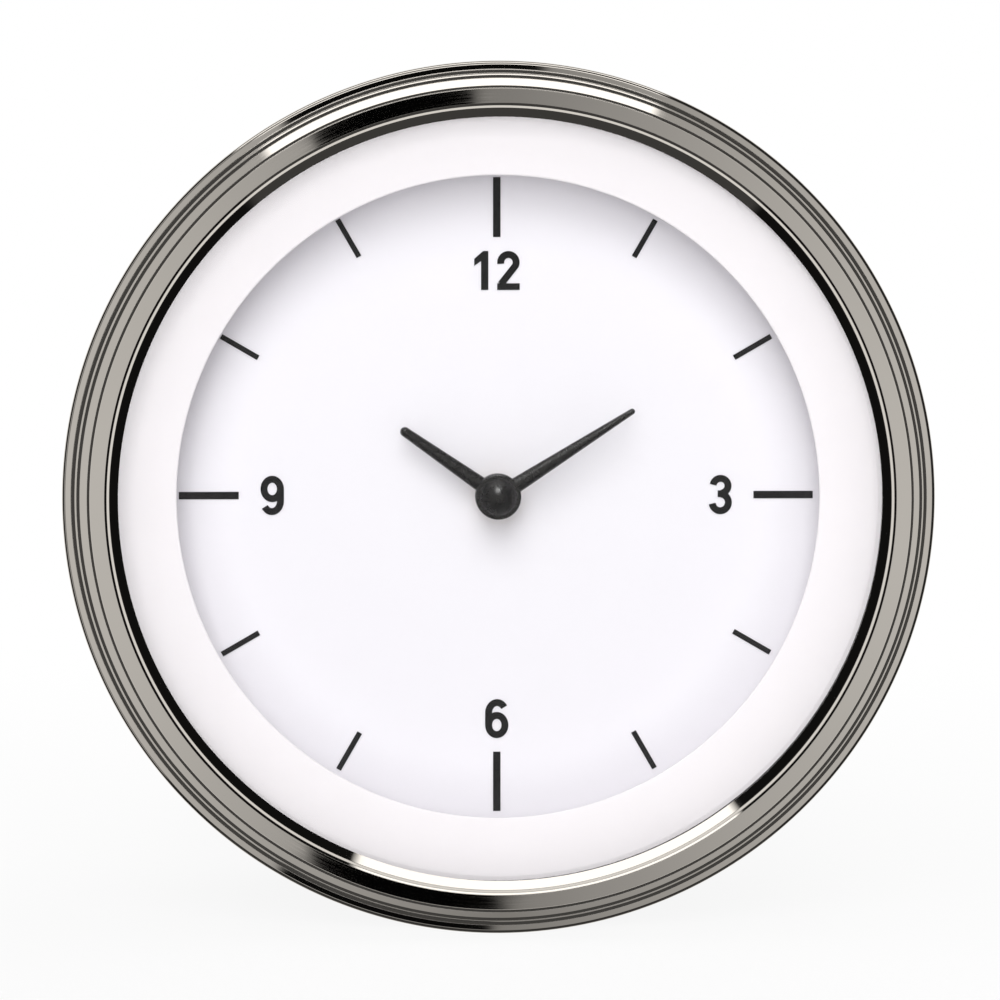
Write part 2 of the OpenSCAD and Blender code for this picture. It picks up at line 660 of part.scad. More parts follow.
// Domed cap on the minute hand's hub.
module hand_cap() color([0.14, 0.14, 0.14]) facing() rotate_extrude() polygon(concat(
  [[0, cap_z], [cap_r, cap_z]],
  arc_points([0, cap_z + cap_h / 3], cap_r, cap_h * 2 / 3, 0, 90, 8)));

module center_arbor() color([0.7, 0.7, 0.72]) facing() disc(arbor_r, cap_z, bridge_rear + 0.1);

// Wheel with a bore and a ring of holes in its web.
module wheel(n, z_top, bore, hole_r, hole_ring) {
  difference() {
    slab(wheel_points(n), z_top, z_top - wheel_t);
    disc(bore, z_top + 1, z_top - wheel_t - 1);
    for (k = [0 : 4]) at(polar(hole_ring, 72 * k)) disc(hole_r, z_top + 1, z_top - wheel_t - 1);
  }
}

module center_wheel() color([0.85, 0.72, 0.4]) facing()
  wheel(center_n, center_wheel_z, arbor_r + fit, 1.9, 5.2);

module cannon_pinion() color([0.7, 0.7, 0.72]) facing() difference() {
  slab(leaf_points(cannon_n), cannon_front, cannon_rear);
  disc(arbor_r + fit, cannon_front + 1, cannon_rear - 1);
}

module hour_hand() color([0.12, 0.12, 0.12]) facing() rotate(-hour_deg)
  translate([0, 0, hour_z]) linear_extrude(hand_t) hand(hour_l, hour_base_w, hour_tip_w, pipe_r + fit);

module hour_wheel() color([0.85, 0.72, 0.4]) facing() difference() {
  union() {
    rotate(mesh_turn(minute_pinion_n, 0, hour_n, -90)) slab(wheel_points(hour_n), hour_wheel_z, hour_wheel_z - wheel_t);
    disc(pipe_r, hour_z + hand_t, hour_wheel_z - wheel_t);
  }
  disc(arbor_r + run, hour_z + hand_t + 1, hour_wheel_z - wheel_t - 1);
}

minute_turn = mesh_turn(cannon_n, 0, minute_n, 90);

module minute_wheel() color([0.85, 0.72, 0.4]) facing() at(minute_xy) rotate(minute_turn) difference() {
  slab(wheel_points(minute_n), minute_wheel_z, minute_wheel_z - wheel_t);
  disc(minute_post_r + run, minute_wheel_z + 1, minute_wheel_z - wheel_t - 1);
}

module minute_pinion() color([0.7, 0.7, 0.72]) facing() at(minute_xy) difference() {
  slab(leaf_points(minute_pinion_n), hour_wheel_z + layer / 4, minute_wheel_z);
  disc(minute_post_r + run, hour_wheel_z + 1, minute_wheel_z - 1);
}

module third_wheel() color([0.85, 0.72, 0.4]) facing() at(third_xy)
  wheel(third_n, third_wheel_z, pivot_r + fit, 1.9, 4.6);

module third_pinion() color([0.7, 0.7, 0.72]) facing() at(third_xy) {
  rotate(mesh_turn(center_n, 0, third_pinion_n, -90))
    slab(leaf_points(third_pinion_n), center_wheel_z + layer / 2, third_wheel_z);
  disc(pivot_r, plate_front - 0.6, bridge_rear + 0.2);
}

module rotor_magnet() color([0.3, 0.3, 0.32]) facing() at(rotor_xy)
  ring(magnet_r, pivot_r + fit, magnet_z, magnet_z - magnet_h);

module rotor_pinion() color([0.7, 0.7, 0.72]) facing() at(rotor_xy) {
  rotate(mesh_turn(third_n, 0, rotor_n, rotor_bearing)) slab(leaf_points(rotor_n), rotor_front, magnet_z);
  disc(pivot_r, plate_front - 0.6, bridge_rear + 0.2);
}

module set_stem() color([0.7, 0.7, 0.72]) facing() at(set_xy) {
  disc(pivot_r, plate_front - 0.6, cannon_rear);
  disc(stem_r, cannon_rear, knob_front - knob_l + 1);
}

module set_pinion() color([0.7, 0.7, 0.72]) facing() at(set_xy)
  rotate(mesh_turn(minute_n, minute_turn, set_n, 90)) difference() {
    slab(leaf_points(set_n), cannon_front, cannon_rear);
    disc(pivot_r + fit, cannon_front + 1, cannon_rear - 1);
  }

module set_knob() color([0.12, 0.12, 0.12]) facing() at(set_xy) difference() {
  union() {
    slab(knurl_points(knob_d / 2, 0.25, 24), knob_front - 1.5, knob_front - knob_l);
    disc(knob_d / 2 - 0.9, knob_front, knob_front - 2);
  }
  disc(stem_r + fit, knob_front + 1, knob_front - knob_l + 1);
}

// U-shaped strip whose legs reach forward past the case to press on the panel's back.
module clamp() color([0.72, 0.72, 0.7]) facing() difference() {
  rotate([90, 0, 0]) linear_extrude(clamp_w, center = true) polygon(rounded([
    [-leg_out, foot_z, 0.3], [-leg_out, bridge_out, 1 + clamp_t], [leg_out, bridge_out, 1 + clamp_t],
    [leg_out, foot_z, 0.3], [leg_in, foot_z, 0.3], [leg_in, bridge_in, 1],
    [-leg_in, bridge_in, 1], [-leg_in, foot_z, 0.3]], 6));
  for (s = [-1, 1]) at([s * stud_x, 0]) disc(stud_r + loose, bridge_in + 1, bridge_out - 1);
}

// Split spring washers under the thumb nuts.
module lock_washers() color([0.6, 0.6, 0.62]) facing() for (s = [-1, 1]) at([s * stud_x, 0]) difference() {
  ring(stud_r + 2, stud_r + loose, bridge_out, nut_z);
  translate([0, -0.3, nut_z - 1]) cube([stud_r + 3, 0.6, washer_t + 2]);
}

module thumb_nut() difference() {
  union() {
    slab(knurl_points(nut_d / 2, 0.3, 30), nut_z - 1.6, nut_z - nut_l);
    disc(nut_d / 2 - 1.4, nut_z, nut_z - 2);
  }
  disc(stud_r + run, nut_z + 1, nut_z - nut_l - 1);
}

module left_nut() color([0.8, 0.68, 0.36]) facing() at([-stud_x, 0]) thumb_nut();

module right_nut() color([0.8, 0.68, 0.36]) facing() at([stud_x, 0]) thumb_nut();

bezel();
lens();
lens_gasket();
spacer_ring();
lamp_board();
lamps();
lamp_pins();
dial();
hour_marks();
numerals();
dial_feet();
foot_clips();
case();
front_plate();
pillars();
rear_plate();
plate_screws();
minute_wheel_post();
stator();
coil_core();
coil_bobbin();
coil_winding();
motor_posts();
motor_pins();
circuit_board();
board_screws();
crystal_can();
timer_chip();
capacitor();
regulator();
blade_terminals();
terminal_block();
mounting_studs();
jam_nuts();
stem_bush();
minute_hand();
hand_cap();
center_arbor();
center_wheel();
cannon_pinion();
hour_hand();
hour_wheel();
minute_wheel();
minute_pinion();
third_wheel();
third_pinion();
rotor_magnet();
rotor_pinion();
set_stem();
set_pinion();
set_knob();
clamp();
lock_washers();
left_nut();
right_nut();
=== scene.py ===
"""Round dashboard clock: a stepped polished bezel, a white dial and a rear clamp, dressed over its frame.

Row frame in metres: x right, y from the dial towards the rear, z up. Angles on the dial run clockwise
from twelve.
"""

import json

import bmesh
import bpy
import numpy as np
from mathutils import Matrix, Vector


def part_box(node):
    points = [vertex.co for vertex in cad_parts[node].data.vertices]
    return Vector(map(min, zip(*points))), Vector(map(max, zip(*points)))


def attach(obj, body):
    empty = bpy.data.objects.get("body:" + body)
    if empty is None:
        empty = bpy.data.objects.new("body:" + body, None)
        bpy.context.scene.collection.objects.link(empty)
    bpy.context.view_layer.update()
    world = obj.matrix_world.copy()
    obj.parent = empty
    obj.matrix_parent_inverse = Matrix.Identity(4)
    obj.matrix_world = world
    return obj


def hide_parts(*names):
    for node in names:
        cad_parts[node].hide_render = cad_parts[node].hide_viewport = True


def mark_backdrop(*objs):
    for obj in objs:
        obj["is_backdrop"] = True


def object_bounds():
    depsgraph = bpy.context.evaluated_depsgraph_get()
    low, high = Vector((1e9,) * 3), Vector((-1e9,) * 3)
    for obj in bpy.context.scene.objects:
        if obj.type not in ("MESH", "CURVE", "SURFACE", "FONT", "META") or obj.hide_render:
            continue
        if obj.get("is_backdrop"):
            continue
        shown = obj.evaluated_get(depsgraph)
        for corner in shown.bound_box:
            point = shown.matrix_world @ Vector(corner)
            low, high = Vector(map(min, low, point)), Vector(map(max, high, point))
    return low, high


bl_info = {
    "name": "Dashboard clock",
    "version": (1, 0, 0),
    "blender": (4, 5, 0),
    "location": "3D View > Sidebar > Clock",
    "description": "Builds the visible pieces of a round dashboard clock over its frame",
    "category": "Object",
}

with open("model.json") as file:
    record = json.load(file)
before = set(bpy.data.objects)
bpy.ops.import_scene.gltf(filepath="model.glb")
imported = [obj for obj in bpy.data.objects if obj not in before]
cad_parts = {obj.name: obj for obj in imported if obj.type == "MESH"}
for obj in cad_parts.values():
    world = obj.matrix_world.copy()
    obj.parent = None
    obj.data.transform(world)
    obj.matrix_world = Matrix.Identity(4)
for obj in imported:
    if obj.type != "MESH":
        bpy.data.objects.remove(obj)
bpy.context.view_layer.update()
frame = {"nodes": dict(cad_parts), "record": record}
MM = 0.001
TAU = 2 * np.pi
FINE = 288  # steps round the large turned pieces
SMALL = 96  # steps round the small turned pieces
SHARP = np.radians(32)  # edges bent by more than this stay crisp
HOLD = 0.03 * MM  # how close to its ends a long side of an outline is held flat


def length(name, description, millimetres):
    """A size in metres whose default is given in millimetres."""
    return bpy.props.FloatProperty(
        name=name, description=description, default=millimetres * MM, unit="LENGTH", precision=5)


def angle(name, description, degrees):
    """An angle whose default is given in degrees."""
    return bpy.props.FloatProperty(
        name=name, description=description, default=np.radians(degrees), subtype="ANGLE")


def colour(name, description, red, green, blue):
    """A linear colour."""
    return bpy.props.FloatVectorProperty(
        name=name, description=description, default=(red, green, blue), size=3, min=0, max=1, subtype="COLOR")


class ClockSizes(bpy.types.PropertyGroup):
    """Sizes that the frame's boxes don't give."""
    land_one: length("First land", "Width of the bezel's lowest land", 0.65)
    run_one: length("First run", "Radial run of the stepped rise to the second land", 0.62)
    land_two: length("Second land", "Width of the bezel's second land", 0.57)
    run_two: length("Second run", "Radial run of the rise to the top land", 0.19)
    land_top: length("Top land", "Width of the bezel's top land", 1.02)
    rise_one: length("First rise", "Height of the second land above the first", 1.3)
    rise_two: length("Second rise", "Height of the top land above the second", 1.4)
    lean_one: angle("First lean", "How far the first land leans outwards", 4)
    lean_two: angle("Second lean", "How far the second land leans outwards", 8)
    lean_top: angle("Top lean", "How far the top land leans inwards", 6)
    chamfer: angle("Chamfer", "How steep the chamfers on the bezel's steps are", 49.2)
    rim_round: length("Rim rounding", "Rounding of the bezel's outer edges", 0.28)
    step_round: length("Step rounding", "Rounding of the bezel's inner corners", 0.12)
    bead: length("Bead", "Width of the bead inside the top land", 0.32)
    undercut: length("Undercut", "How far the wall below the slope inside the bead draws back", 0.16)
    window: length("Window", "Radius of the bezel's opening", 26.2)
    lip: length("Lip", "Thickness of the bezel's rolled rear lip", 0.6)
    lip_radius: length("Lip radius", "Inner radius of the rolled rear lip", 27.6)
    aperture: length("Aperture", "Radius of the white ring's opening", 22.35)
    ring_fall: length("Ring fall", "Fall of the white ring's face", 0.8)
    ring_wall: length("Ring wall", "Wall thickness of the white ring", 0.9)
    ring_gap: length("Ring gap", "How far the white ring's wall draws back under its edge", 0.6)
    # Painted shade: the width of the darkening painted into the dial's colour along its edge.
    dial_shade_width: length("Dial fade", "Width over which the dial's paint darkens towards its edge", 4.2)
    flange: length("Flange", "Thickness of the case's front flange", 1.2)
    case_radius: length("Case radius", "Outside radius of the case", 26.6)
    case_wall: length("Case wall", "Wall thickness of the case", 1.6)
    minute_length: length("Minute hand", "Length of the minute hand", 11.3)
    minute_base: length("Minute base", "Width of the minute hand at its hub", 1.2)
    minute_tip: length("Minute tip", "Width of the minute hand at its tip", 0.42)
    hour_length: length("Hour hand", "Length of the hour hand", 8.25)
    hour_base: length("Hour base", "Width of the hour hand at its hub", 1.15)
    hour_tip: length("Hour tip", "Width of the hour hand at its tip", 0.68)
    hub: length("Hub", "Radius of the hands' hubs", 1.6)
    shown: bpy.props.FloatProperty(
        name="Shown minutes", description="Minutes after ten o'clock that the hands show", default=9.6)
    thread: length("Thread", "Pitch of the studs' thread", 0.7)
    thread_cut: length("Thread cut", "Depth of the studs' thread", 0.3)
    knob_flutes: bpy.props.IntProperty(name="Knob flutes", description="Flutes round the knob", default=24)
    nut_flutes: bpy.props.IntProperty(name="Nut flutes", description="Flutes round a thumb nut", default=30)
    strip: length("Strip", "Thickness of the clamp's strip", 1.5)
    bend: length("Bend", "Inner radius of the clamp's bends", 1.0)


class ClockColours(bpy.types.PropertyGroup):
    """Base colours of the finishes."""
    bezel: colour("Bezel", "Polished bezel", 0.80, 0.775, 0.745)
    ring: colour("Ring", "White ring", 0.915, 0.886, 0.906)
    dial: colour("Dial", "Dial paint", 0.86, 0.8475, 0.887)
    # Painted shade: the dial's colour at its edge, darker where the white ring's shade falls.
    dial_edge_shade: colour("Dial edge", "Dial paint at the dial's edge", 0.75, 0.739, 0.773)
    ink: colour("Print", "Printed bars and numerals", 0.008, 0.008, 0.009)
    hands: colour("Hands", "Paint of the hands", 0.009, 0.0088, 0.009)
    case: colour("Case", "Moulded case", 0.026, 0.026, 0.028)
    brass: colour("Brass", "Brass of the nuts, plates and wheels", 0.76, 0.56, 0.25)
    zinc: colour("Zinc", "Zinc plate of the clamp and studs", 0.62, 0.63, 0.65)
    steel: colour("Steel", "Bright steel of the arbors", 0.55, 0.55, 0.56)
    copper: colour("Copper", "Enamelled winding", 0.55, 0.20, 0.07)
    board: colour("Board", "Lacquered circuit boards", 0.02, 0.11, 0.045)


class PieceMaker:
    """Shared access of the operators to the clock's settings."""
    bl_options = {"REGISTER", "UNDO"}

    @property
    def sizes(self):
        """The clock's sizes."""
        return bpy.context.scene.clock_sizes

    @property
    def colours(self):
        """The clock's colours."""
        return bpy.context.scene.clock_colours


# Shapes


def quads(rows, columns, wrap_rows=False, wrap_columns=True):
    """Faces between neighbouring points of a grid; a wrapped side joins its last points to its first."""
    r, c = np.meshgrid(
        np.arange(rows - (not wrap_rows)), np.arange(columns - (not wrap_columns)), indexing="ij")
    r_next, c_next = (r + 1) % rows, (c + 1) % columns
    corners = [r * columns + c, r * columns + c_next, r_next * columns + c_next, r_next * columns + c]
    return np.stack(corners, -1).reshape(-1, 4).tolist()


def rounded(corners, steps=8, closed=True):
    """Outline through corners (a, b, fillet): each becomes an arc tangent to both of its sides.

    Long sides get a point close to either end, which keeps their shading flat.
    """
    points = np.array([corner[:2] for corner in corners], float)
    outline = []
    for before, here, after, (_, _, fillet) in zip(
            np.roll(points, 1, 0), points, np.roll(points, -1, 0), corners):
        if fillet == 0:
            outline.append(here[None])
            continue
        u = (before - here) / np.linalg.norm(before - here)
        v = (after - here) / np.linalg.norm(after - here)
        half = np.arccos(np.clip(u @ v, -1, 1)) / 2
        middle = here + (u + v) / np.linalg.norm(u + v) * fillet / np.sin(half)
        start = here + u * fillet / np.tan(half) - middle
        stop = here + v * fillet / np.tan(half) - middle
        first = np.arctan2(start[1], start[0])
        sweep = (np.arctan2(stop[1], stop[0]) - first + np.pi) % TAU - np.pi
        turn = first + sweep * np.linspace(0, 1, steps + 1)
        outline.append(middle + fillet * np.stack([np.cos(turn), np.sin(turn)], -1))
    outline = np.concatenate(outline)
    side = np.roll(outline, -1, 0) - outline
    run = np.linalg.norm(side, axis=1, keepdims=True)
    step = side / run * HOLD
    kept = np.repeat(run > 4 * HOLD, 3, 1)
    kept[:, 0] = True
    kept[-1, 1:] &= closed
    return np.stack([outline, outline + step, outline + side - step], 1)[kept]


def turned(profile, steps, centre=(0.0, 0.0), shape=None, ring=False):
    """Surface of revolution: the profile's point (r, y) at angle a lies at (r cos a, y, r sin a) from centre.

    shape(r, a, y) may change r. A ring's profile is closed; any other starts and ends on the axis.
    """
    turn = np.linspace(0, TAU, steps, endpoint=False)
    r, a, y = np.broadcast_arrays(profile[:, :1], turn[None], profile[:, 1:])
    r = r if shape is None else shape(r, a, y)
    points = np.stack([centre[0] + r * np.cos(a), y, centre[1] + r * np.sin(a)], -1)
    if ring:
        return points.reshape(-1, 3), quads(len(profile), steps, wrap_rows=True)
    inner = points[1:-1].reshape(-1, 3)
    poles = points[[0, -1], 0]
    last = len(inner) - steps
    k = np.arange(steps)
    fans = [np.stack([np.full(steps, len(inner) + end), start + k, start + (k + 1) % steps], -1).tolist()
            for end, start in enumerate((0, last))]
    return np.concatenate([inner, poles]), quads(len(profile) - 2, steps) + fans[0] + fans[1]


def lofted(sections):
    """Skin over a row of closed sections, shape (sections, points, 3), with a flat face at either end."""
    rows, columns = sections.shape[:2]
    ends = [list(range(columns)), list(range((rows - 1) * columns, rows * columns))]
    return sections.reshape(-1, 3), quads(rows, columns) + ends


def joined(*shells):
    """Several shells of points and faces as one."""
    offsets = np.cumsum([0] + [len(points) for points, _ in shells])
    faces = [[k + offset for k in face] for (_, shell), offset in zip(shells, offsets) for face in shell]
    return np.concatenate([points for points, _ in shells]), faces


def flutes(count, cut, reach):
    """Rounded flutes: beyond the radius reach, r falls by cut (1 - cos(count a)) / 2."""
    def shape(r, a, y):
        depth = np.clip((r - reach) / (2 * cut), 0, 1) * cut
        return r - depth * (0.5 - 0.5 * np.cos(count * a))
    return shape


def hexagon(across):
    """Six flats: r is cut to (across / 2) / cos of the angle from the nearest flat's middle."""
    def shape(r, a, y):
        from_flat = (a + TAU / 12) % (TAU / 6) - TAU / 12
        return np.minimum(r, across / 2 / np.cos(from_flat))
    return shape


def screw_thread(pitch, cut, start, stop):
    """A helix between two depths: r falls by cut (1 - cos(y turns - a)) / 2, fading out at both ends."""
    def shape(r, a, y):
        fade = np.clip(np.minimum(y - start, stop - y) / pitch, 0, 1)
        return r - fade * cut * (0.5 - 0.5 * np.cos(TAU * y / pitch - a))
    return shape


def make_mesh(name, points, faces):
    """A smooth mesh with its faces outwards and its sharp edges kept."""
    mesh = bpy.data.meshes.new(name)
    mesh.from_pydata(np.asarray(points).tolist(), [], faces)
    work = bmesh.new()
    work.from_mesh(mesh)
    bmesh.ops.recalc_face_normals(work, faces=work.faces)
    work.to_mesh(mesh)
    work.free()
    mesh.shade_smooth()
    mesh.set_sharp_from_angle(angle=SHARP)
    return mesh


def place(name, shell, body, slot, *nodes):
    """Put a piece into the scene on its body, in its slot's finish and in the place of its CAD nodes."""
    piece = bpy.data.objects.new(name, make_mesh(name, *shell))
    piece.data.materials.append(finish_of(slot))
    bpy.context.scene.collection.objects.link(piece)
    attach(piece, body)
    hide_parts(*nodes)
    return piece


def cut_out(piece, shell):
    """Take a closed shell's volume out of a piece."""
    cutter = bpy.data.objects.new("cutter", make_mesh("cutter", *shell))
    bpy.context.scene.collection.objects.link(cutter)
    tool = piece.modifiers.new("cut", "BOOLEAN")
    tool.object, tool.operation, tool.solver = cutter, "DIFFERENCE", "EXACT"
    whole = piece.data
    piece.data = bpy.data.meshes.new_from_object(piece.evaluated_get(bpy.context.evaluated_depsgraph_get()))
    piece.modifiers.remove(tool)
    bpy.data.objects.remove(cutter)
    piece.data.name = whole.name
    bpy.data.meshes.remove(whole)
    piece.data.set_sharp_from_angle(angle=SHARP)


# Finishes


class Finish:
    """A procedural material on Object coordinates, built up by small steps."""

    def __init__(self, name, **sockets):
        self.material = bpy.data.materials.new(name)
        self.material.use_nodes = True
        self.tree = self.material.node_tree
        self.shader = self.tree.nodes["Principled BSDF"]
        for socket, value in sockets.items():
            self.shader.inputs[socket.replace("_", " ")].default_value = value
        self.coords = self.node("ShaderNodeTexCoord").outputs["Object"]

    def node(self, kind, **settings):
        """A new node with its settings."""
        made = self.tree.nodes.new(kind)
        for key, value in settings.items():
            setattr(made, key, value)
        return made

    def link(self, start, end):
        """Join an output to an input."""
        self.tree.links.new(start, end)

    def noise(self, scale, detail=3.0, stretch=(1, 1, 1)):
        """Cloudy noise with features about 1 / scale metres across, drawn out along the stretched axes."""
        mapping = self.node("ShaderNodeMapping")
        mapping.inputs["Scale"].default_value = stretch
        self.link(self.coords, mapping.inputs["Vector"])
        cloud = self.node("ShaderNodeTexNoise")
        cloud.inputs["Scale"].default_value = scale
        cloud.inputs["Detail"].default_value = detail
        self.link(mapping.outputs["Vector"], cloud.inputs["Vector"])
        return cloud.outputs["Fac"]

    def radius(self):
        """Distance from the clock's axis."""
        flat = self.node("ShaderNodeVectorMath", operation="MULTIPLY")
        flat.inputs[1].default_value = (1, 0, 1)
        self.link(self.coords, flat.inputs[0])
        away = self.node("ShaderNodeVectorMath", operation="LENGTH")
        self.link(flat.outputs["Vector"], away.inputs[0])
        return away.outputs["Value"]

    def rings(self, scale):
        """Noise along the distance from the clock's axis: fine rings from turning or polishing."""
        lines = self.node("ShaderNodeTexNoise", noise_dimensions="1D")
        lines.inputs["Scale"].default_value = scale
        self.link(self.radius(), lines.inputs["W"])
        return lines.outputs["Fac"]

    def tint(self, amount, low, high):
        """Base colour running from low to high."""
        mix = self.node("ShaderNodeMix", data_type="RGBA")
        self.link(amount, mix.inputs["Factor"])
        mix.inputs[6].default_value = (*low, 1)
        mix.inputs[7].default_value = (*high, 1)
        self.link(mix.outputs[2], self.shader.inputs["Base Color"])

    def roughness(self, amount, low, high):
        """Roughness running from low to high over the middle of the noise."""
        spread = self.node("ShaderNodeMapRange")
        for socket, value in zip(("From Min", "From Max", "To Min", "To Max"), (0.3, 0.7, low, high)):
            spread.inputs[socket].default_value = value
        self.link(amount, spread.inputs["Value"])
        self.link(spread.outputs["Result"], self.shader.inputs["Roughness"])

    def relief(self, height, distance):
        """Bumps of a height in metres."""
        bump = self.node("ShaderNodeBump")
        bump.inputs["Strength"].default_value = 1
        bump.inputs["Distance"].default_value = distance
        self.link(height, bump.inputs["Height"])
        self.link(bump.outputs["Normal"], self.shader.inputs["Normal"])


def shade(base, factor):
    """A colour made lighter or darker."""
    return tuple(min(1.0, channel * factor) for channel in base)


def polished(name, base):
    """Bright plated metal with faint polishing rings and a little haze."""
    made = Finish(name, Metallic=1.0)
    made.tint(made.noise(160), shade(base, 0.97), shade(base, 1.02))
    made.roughness(made.rings(9000), 0.012, 0.04)
    return made.material


def metal(name, base, rough=(0.22, 0.36), stretch=(1, 1, 1), mottle=(0.86, 1.05)):
    """Plain metal with drawn or mottled colour and a fine worked grain."""
    made = Finish(name, Metallic=1.0)
    made.tint(made.noise(420), shade(base, mottle[0]), shade(base, mottle[1]))
    grain = made.noise(3800, 4.0, stretch)
    made.roughness(grain, *rough)
    made.relief(grain, 0.0000015)
    return made.material


def moulded(name, base, rough=(0.42, 0.6), grain=5200, height=0.000012):
    """Moulded plastic with a fine spark-eroded grain."""
    made = Finish(name)
    made.tint(made.noise(300), shade(base, 0.85), shade(base, 1.15))
    texture = made.noise(grain, 2.0)
    made.roughness(texture, *rough)
    made.relief(texture, height)
    return made.material


def painted(name, base, rough=(0.35, 0.5), height=0.000003, coat=0.0):
    """Even paint with a slight orange peel."""
    made = Finish(name, Coat_Weight=coat)
    made.tint(made.noise(220), shade(base, 0.985), shade(base, 1.01))
    peel = made.noise(2600, 1.0)
    made.roughness(peel, *rough)
    made.relief(peel, height)
    return made.material


def shaded_dial_paint(name, base, edge, reach, fade):
    """Matt paint with painted shade: it runs smoothly from base to the darker edge colour over the width fade
    before the radius reach, in place of the shade that falls on the dial along the white ring's edge.

    A little noise clouds the radius.
    """
    made = Finish(name)
    cloud = made.node("ShaderNodeMath", operation="MULTIPLY_ADD")
    cloud.inputs[1].default_value = 0.6 * MM
    made.link(made.noise(220), cloud.inputs[0])
    made.link(made.radius(), cloud.inputs[2])
    spread = made.node("ShaderNodeMapRange", interpolation_type="SMOOTHSTEP")
    spread.inputs["From Min"].default_value = reach - fade
    spread.inputs["From Max"].default_value = reach
    made.link(cloud.outputs["Value"], spread.inputs["Value"])
    # Painted shade: the dial's colour darkens towards its edge, standing in for the shade under the white
    # ring's edge.
    made.tint(spread.outputs["Result"], base, edge)
    peel = made.noise(2600, 1.0)
    made.roughness(peel, 0.55, 0.7)
    made.relief(peel, 0.000002)
    return made.material


def clear_glass(name):
    """Flat clear glass: lets all light through but a share that grows as the fifth power of the tilt."""
    made = Finish(name)
    tree = made.tree
    clear = made.node("ShaderNodeBsdfTransparent")
    clear.inputs["Color"].default_value = (0.99, 0.99, 0.99, 1)
    gloss = made.node("ShaderNodeBsdfGlossy")
    tilt = made.node("ShaderNodeLayerWeight")
    tilt.inputs["Blend"].default_value = 0.5
    power = made.node("ShaderNodeMath", operation="POWER")
    power.inputs[1].default_value = 5
    share = made.node("ShaderNodeMapRange")
    share.inputs["To Min"].default_value = 0.008
    smear = made.node("ShaderNodeMapRange")
    smear.inputs["To Min"].default_value = 0.0
    smear.inputs["To Max"].default_value = 0.02
    mix = made.node("ShaderNodeMixShader")
    made.link(made.noise(90), smear.inputs["Value"])
    made.link(smear.outputs["Result"], gloss.inputs["Roughness"])
    made.link(tilt.outputs["Facing"], power.inputs[0])
    made.link(power.outputs["Value"], share.inputs["Value"])
    made.link(share.outputs["Result"], mix.inputs["Fac"])
    made.link(clear.outputs["BSDF"], mix.inputs[1])
    made.link(gloss.outputs["BSDF"], mix.inputs[2])
    made.link(mix.outputs["Shader"], tree.nodes["Material Output"].inputs["Surface"])
    tree.nodes.remove(made.shader)
    return made.material


def make_finishes(sizes, colours):
    """One material for each of the record's slots, by slot name."""
    steel, brass, case = tuple(colours.steel), tuple(colours.brass), tuple(colours.case)
    long_grain = (1, 0.08, 1)
    # Painted shade: the dial's paint is darkest at this radius, just under the white ring's edge.
    dial_shade_reach = sizes.aperture + 0.5 * MM
    return {
        "bezel_polished": polished("bezel_polish", colours.bezel),
        "lens_glass": clear_glass("lens_clear"),
        "gasket_rubber": moulded("gasket_black", shade(case, 1.2), (0.7, 0.9)),
        "ring_white": painted("ring_satin", colours.ring, (0.38, 0.52), 0.000002),
        "dial_white": shaded_dial_paint("dial_matt", colours.dial, colours.dial_edge_shade, dial_shade_reach, sizes.dial_shade_width),
        "print_black": painted("print_ink", colours.ink, (0.45, 0.65), 0.000002),
        "hand_black": painted("hand_satin", colours.hands, (0.22, 0.3), 0.0000004, 0.1),
        "case_black": moulded("case_grain", case),
        "plate_brass": metal("plate_drawn", shade(brass, 0.95), (0.25, 0.42)),
        "gear_brass": metal("gear_cut", brass, (0.2, 0.34)),
        "arbor_steel": metal("arbor_bright", steel, (0.16, 0.3), long_grain),
        "magnet_dark": metal("magnet_sintered", shade(steel, 0.35), (0.5, 0.7)),
        "bobbin_plastic": moulded("bobbin_cream", (0.72, 0.67, 0.55)),
        "winding_copper": metal("winding_enamel", colours.copper, (0.25, 0.4), (1, 12, 1)),
        "board_green": painted("board_lacquer", colours.board, (0.25, 0.4), 0.000004, 0.3),
        "lamp_lens": painted("lamp_diffuser", (0.8, 0.76, 0.6), (0.2, 0.35)),
        "pin_brass": metal("pin_tinned", shade(brass, 1.05), (0.2, 0.35), long_grain),
        "chip_black": moulded("chip_mould", shade(case, 1.1), (0.5, 0.7)),
        "can_metal": metal("can_drawn", shade(steel, 1.2), (0.2, 0.32)),
        "capacitor_sleeve": moulded("capacitor_film", (0.03, 0.05, 0.16), (0.3, 0.45), 2400, 0.000004),
        "zinc_steel": metal("zinc_plate", colours.zinc, (0.34, 0.42), (1, 1, 1), (0.8, 1.08)),
        "nut_brass": metal("nut_turned", brass, (0.2, 0.36), (1, 10, 1)),
    }


def finish_of(slot):
    """The material of a slot, made with all others at the first call."""
    name = bpy.context.scene.get("finish_" + slot)
    if name is None:
        scene = bpy.context.scene
        for each, made in make_finishes(scene.clock_sizes, scene.clock_colours).items():
            scene["finish_" + each] = made.name
        name = scene["finish_" + slot]
    return bpy.data.materials[name]


# Pieces


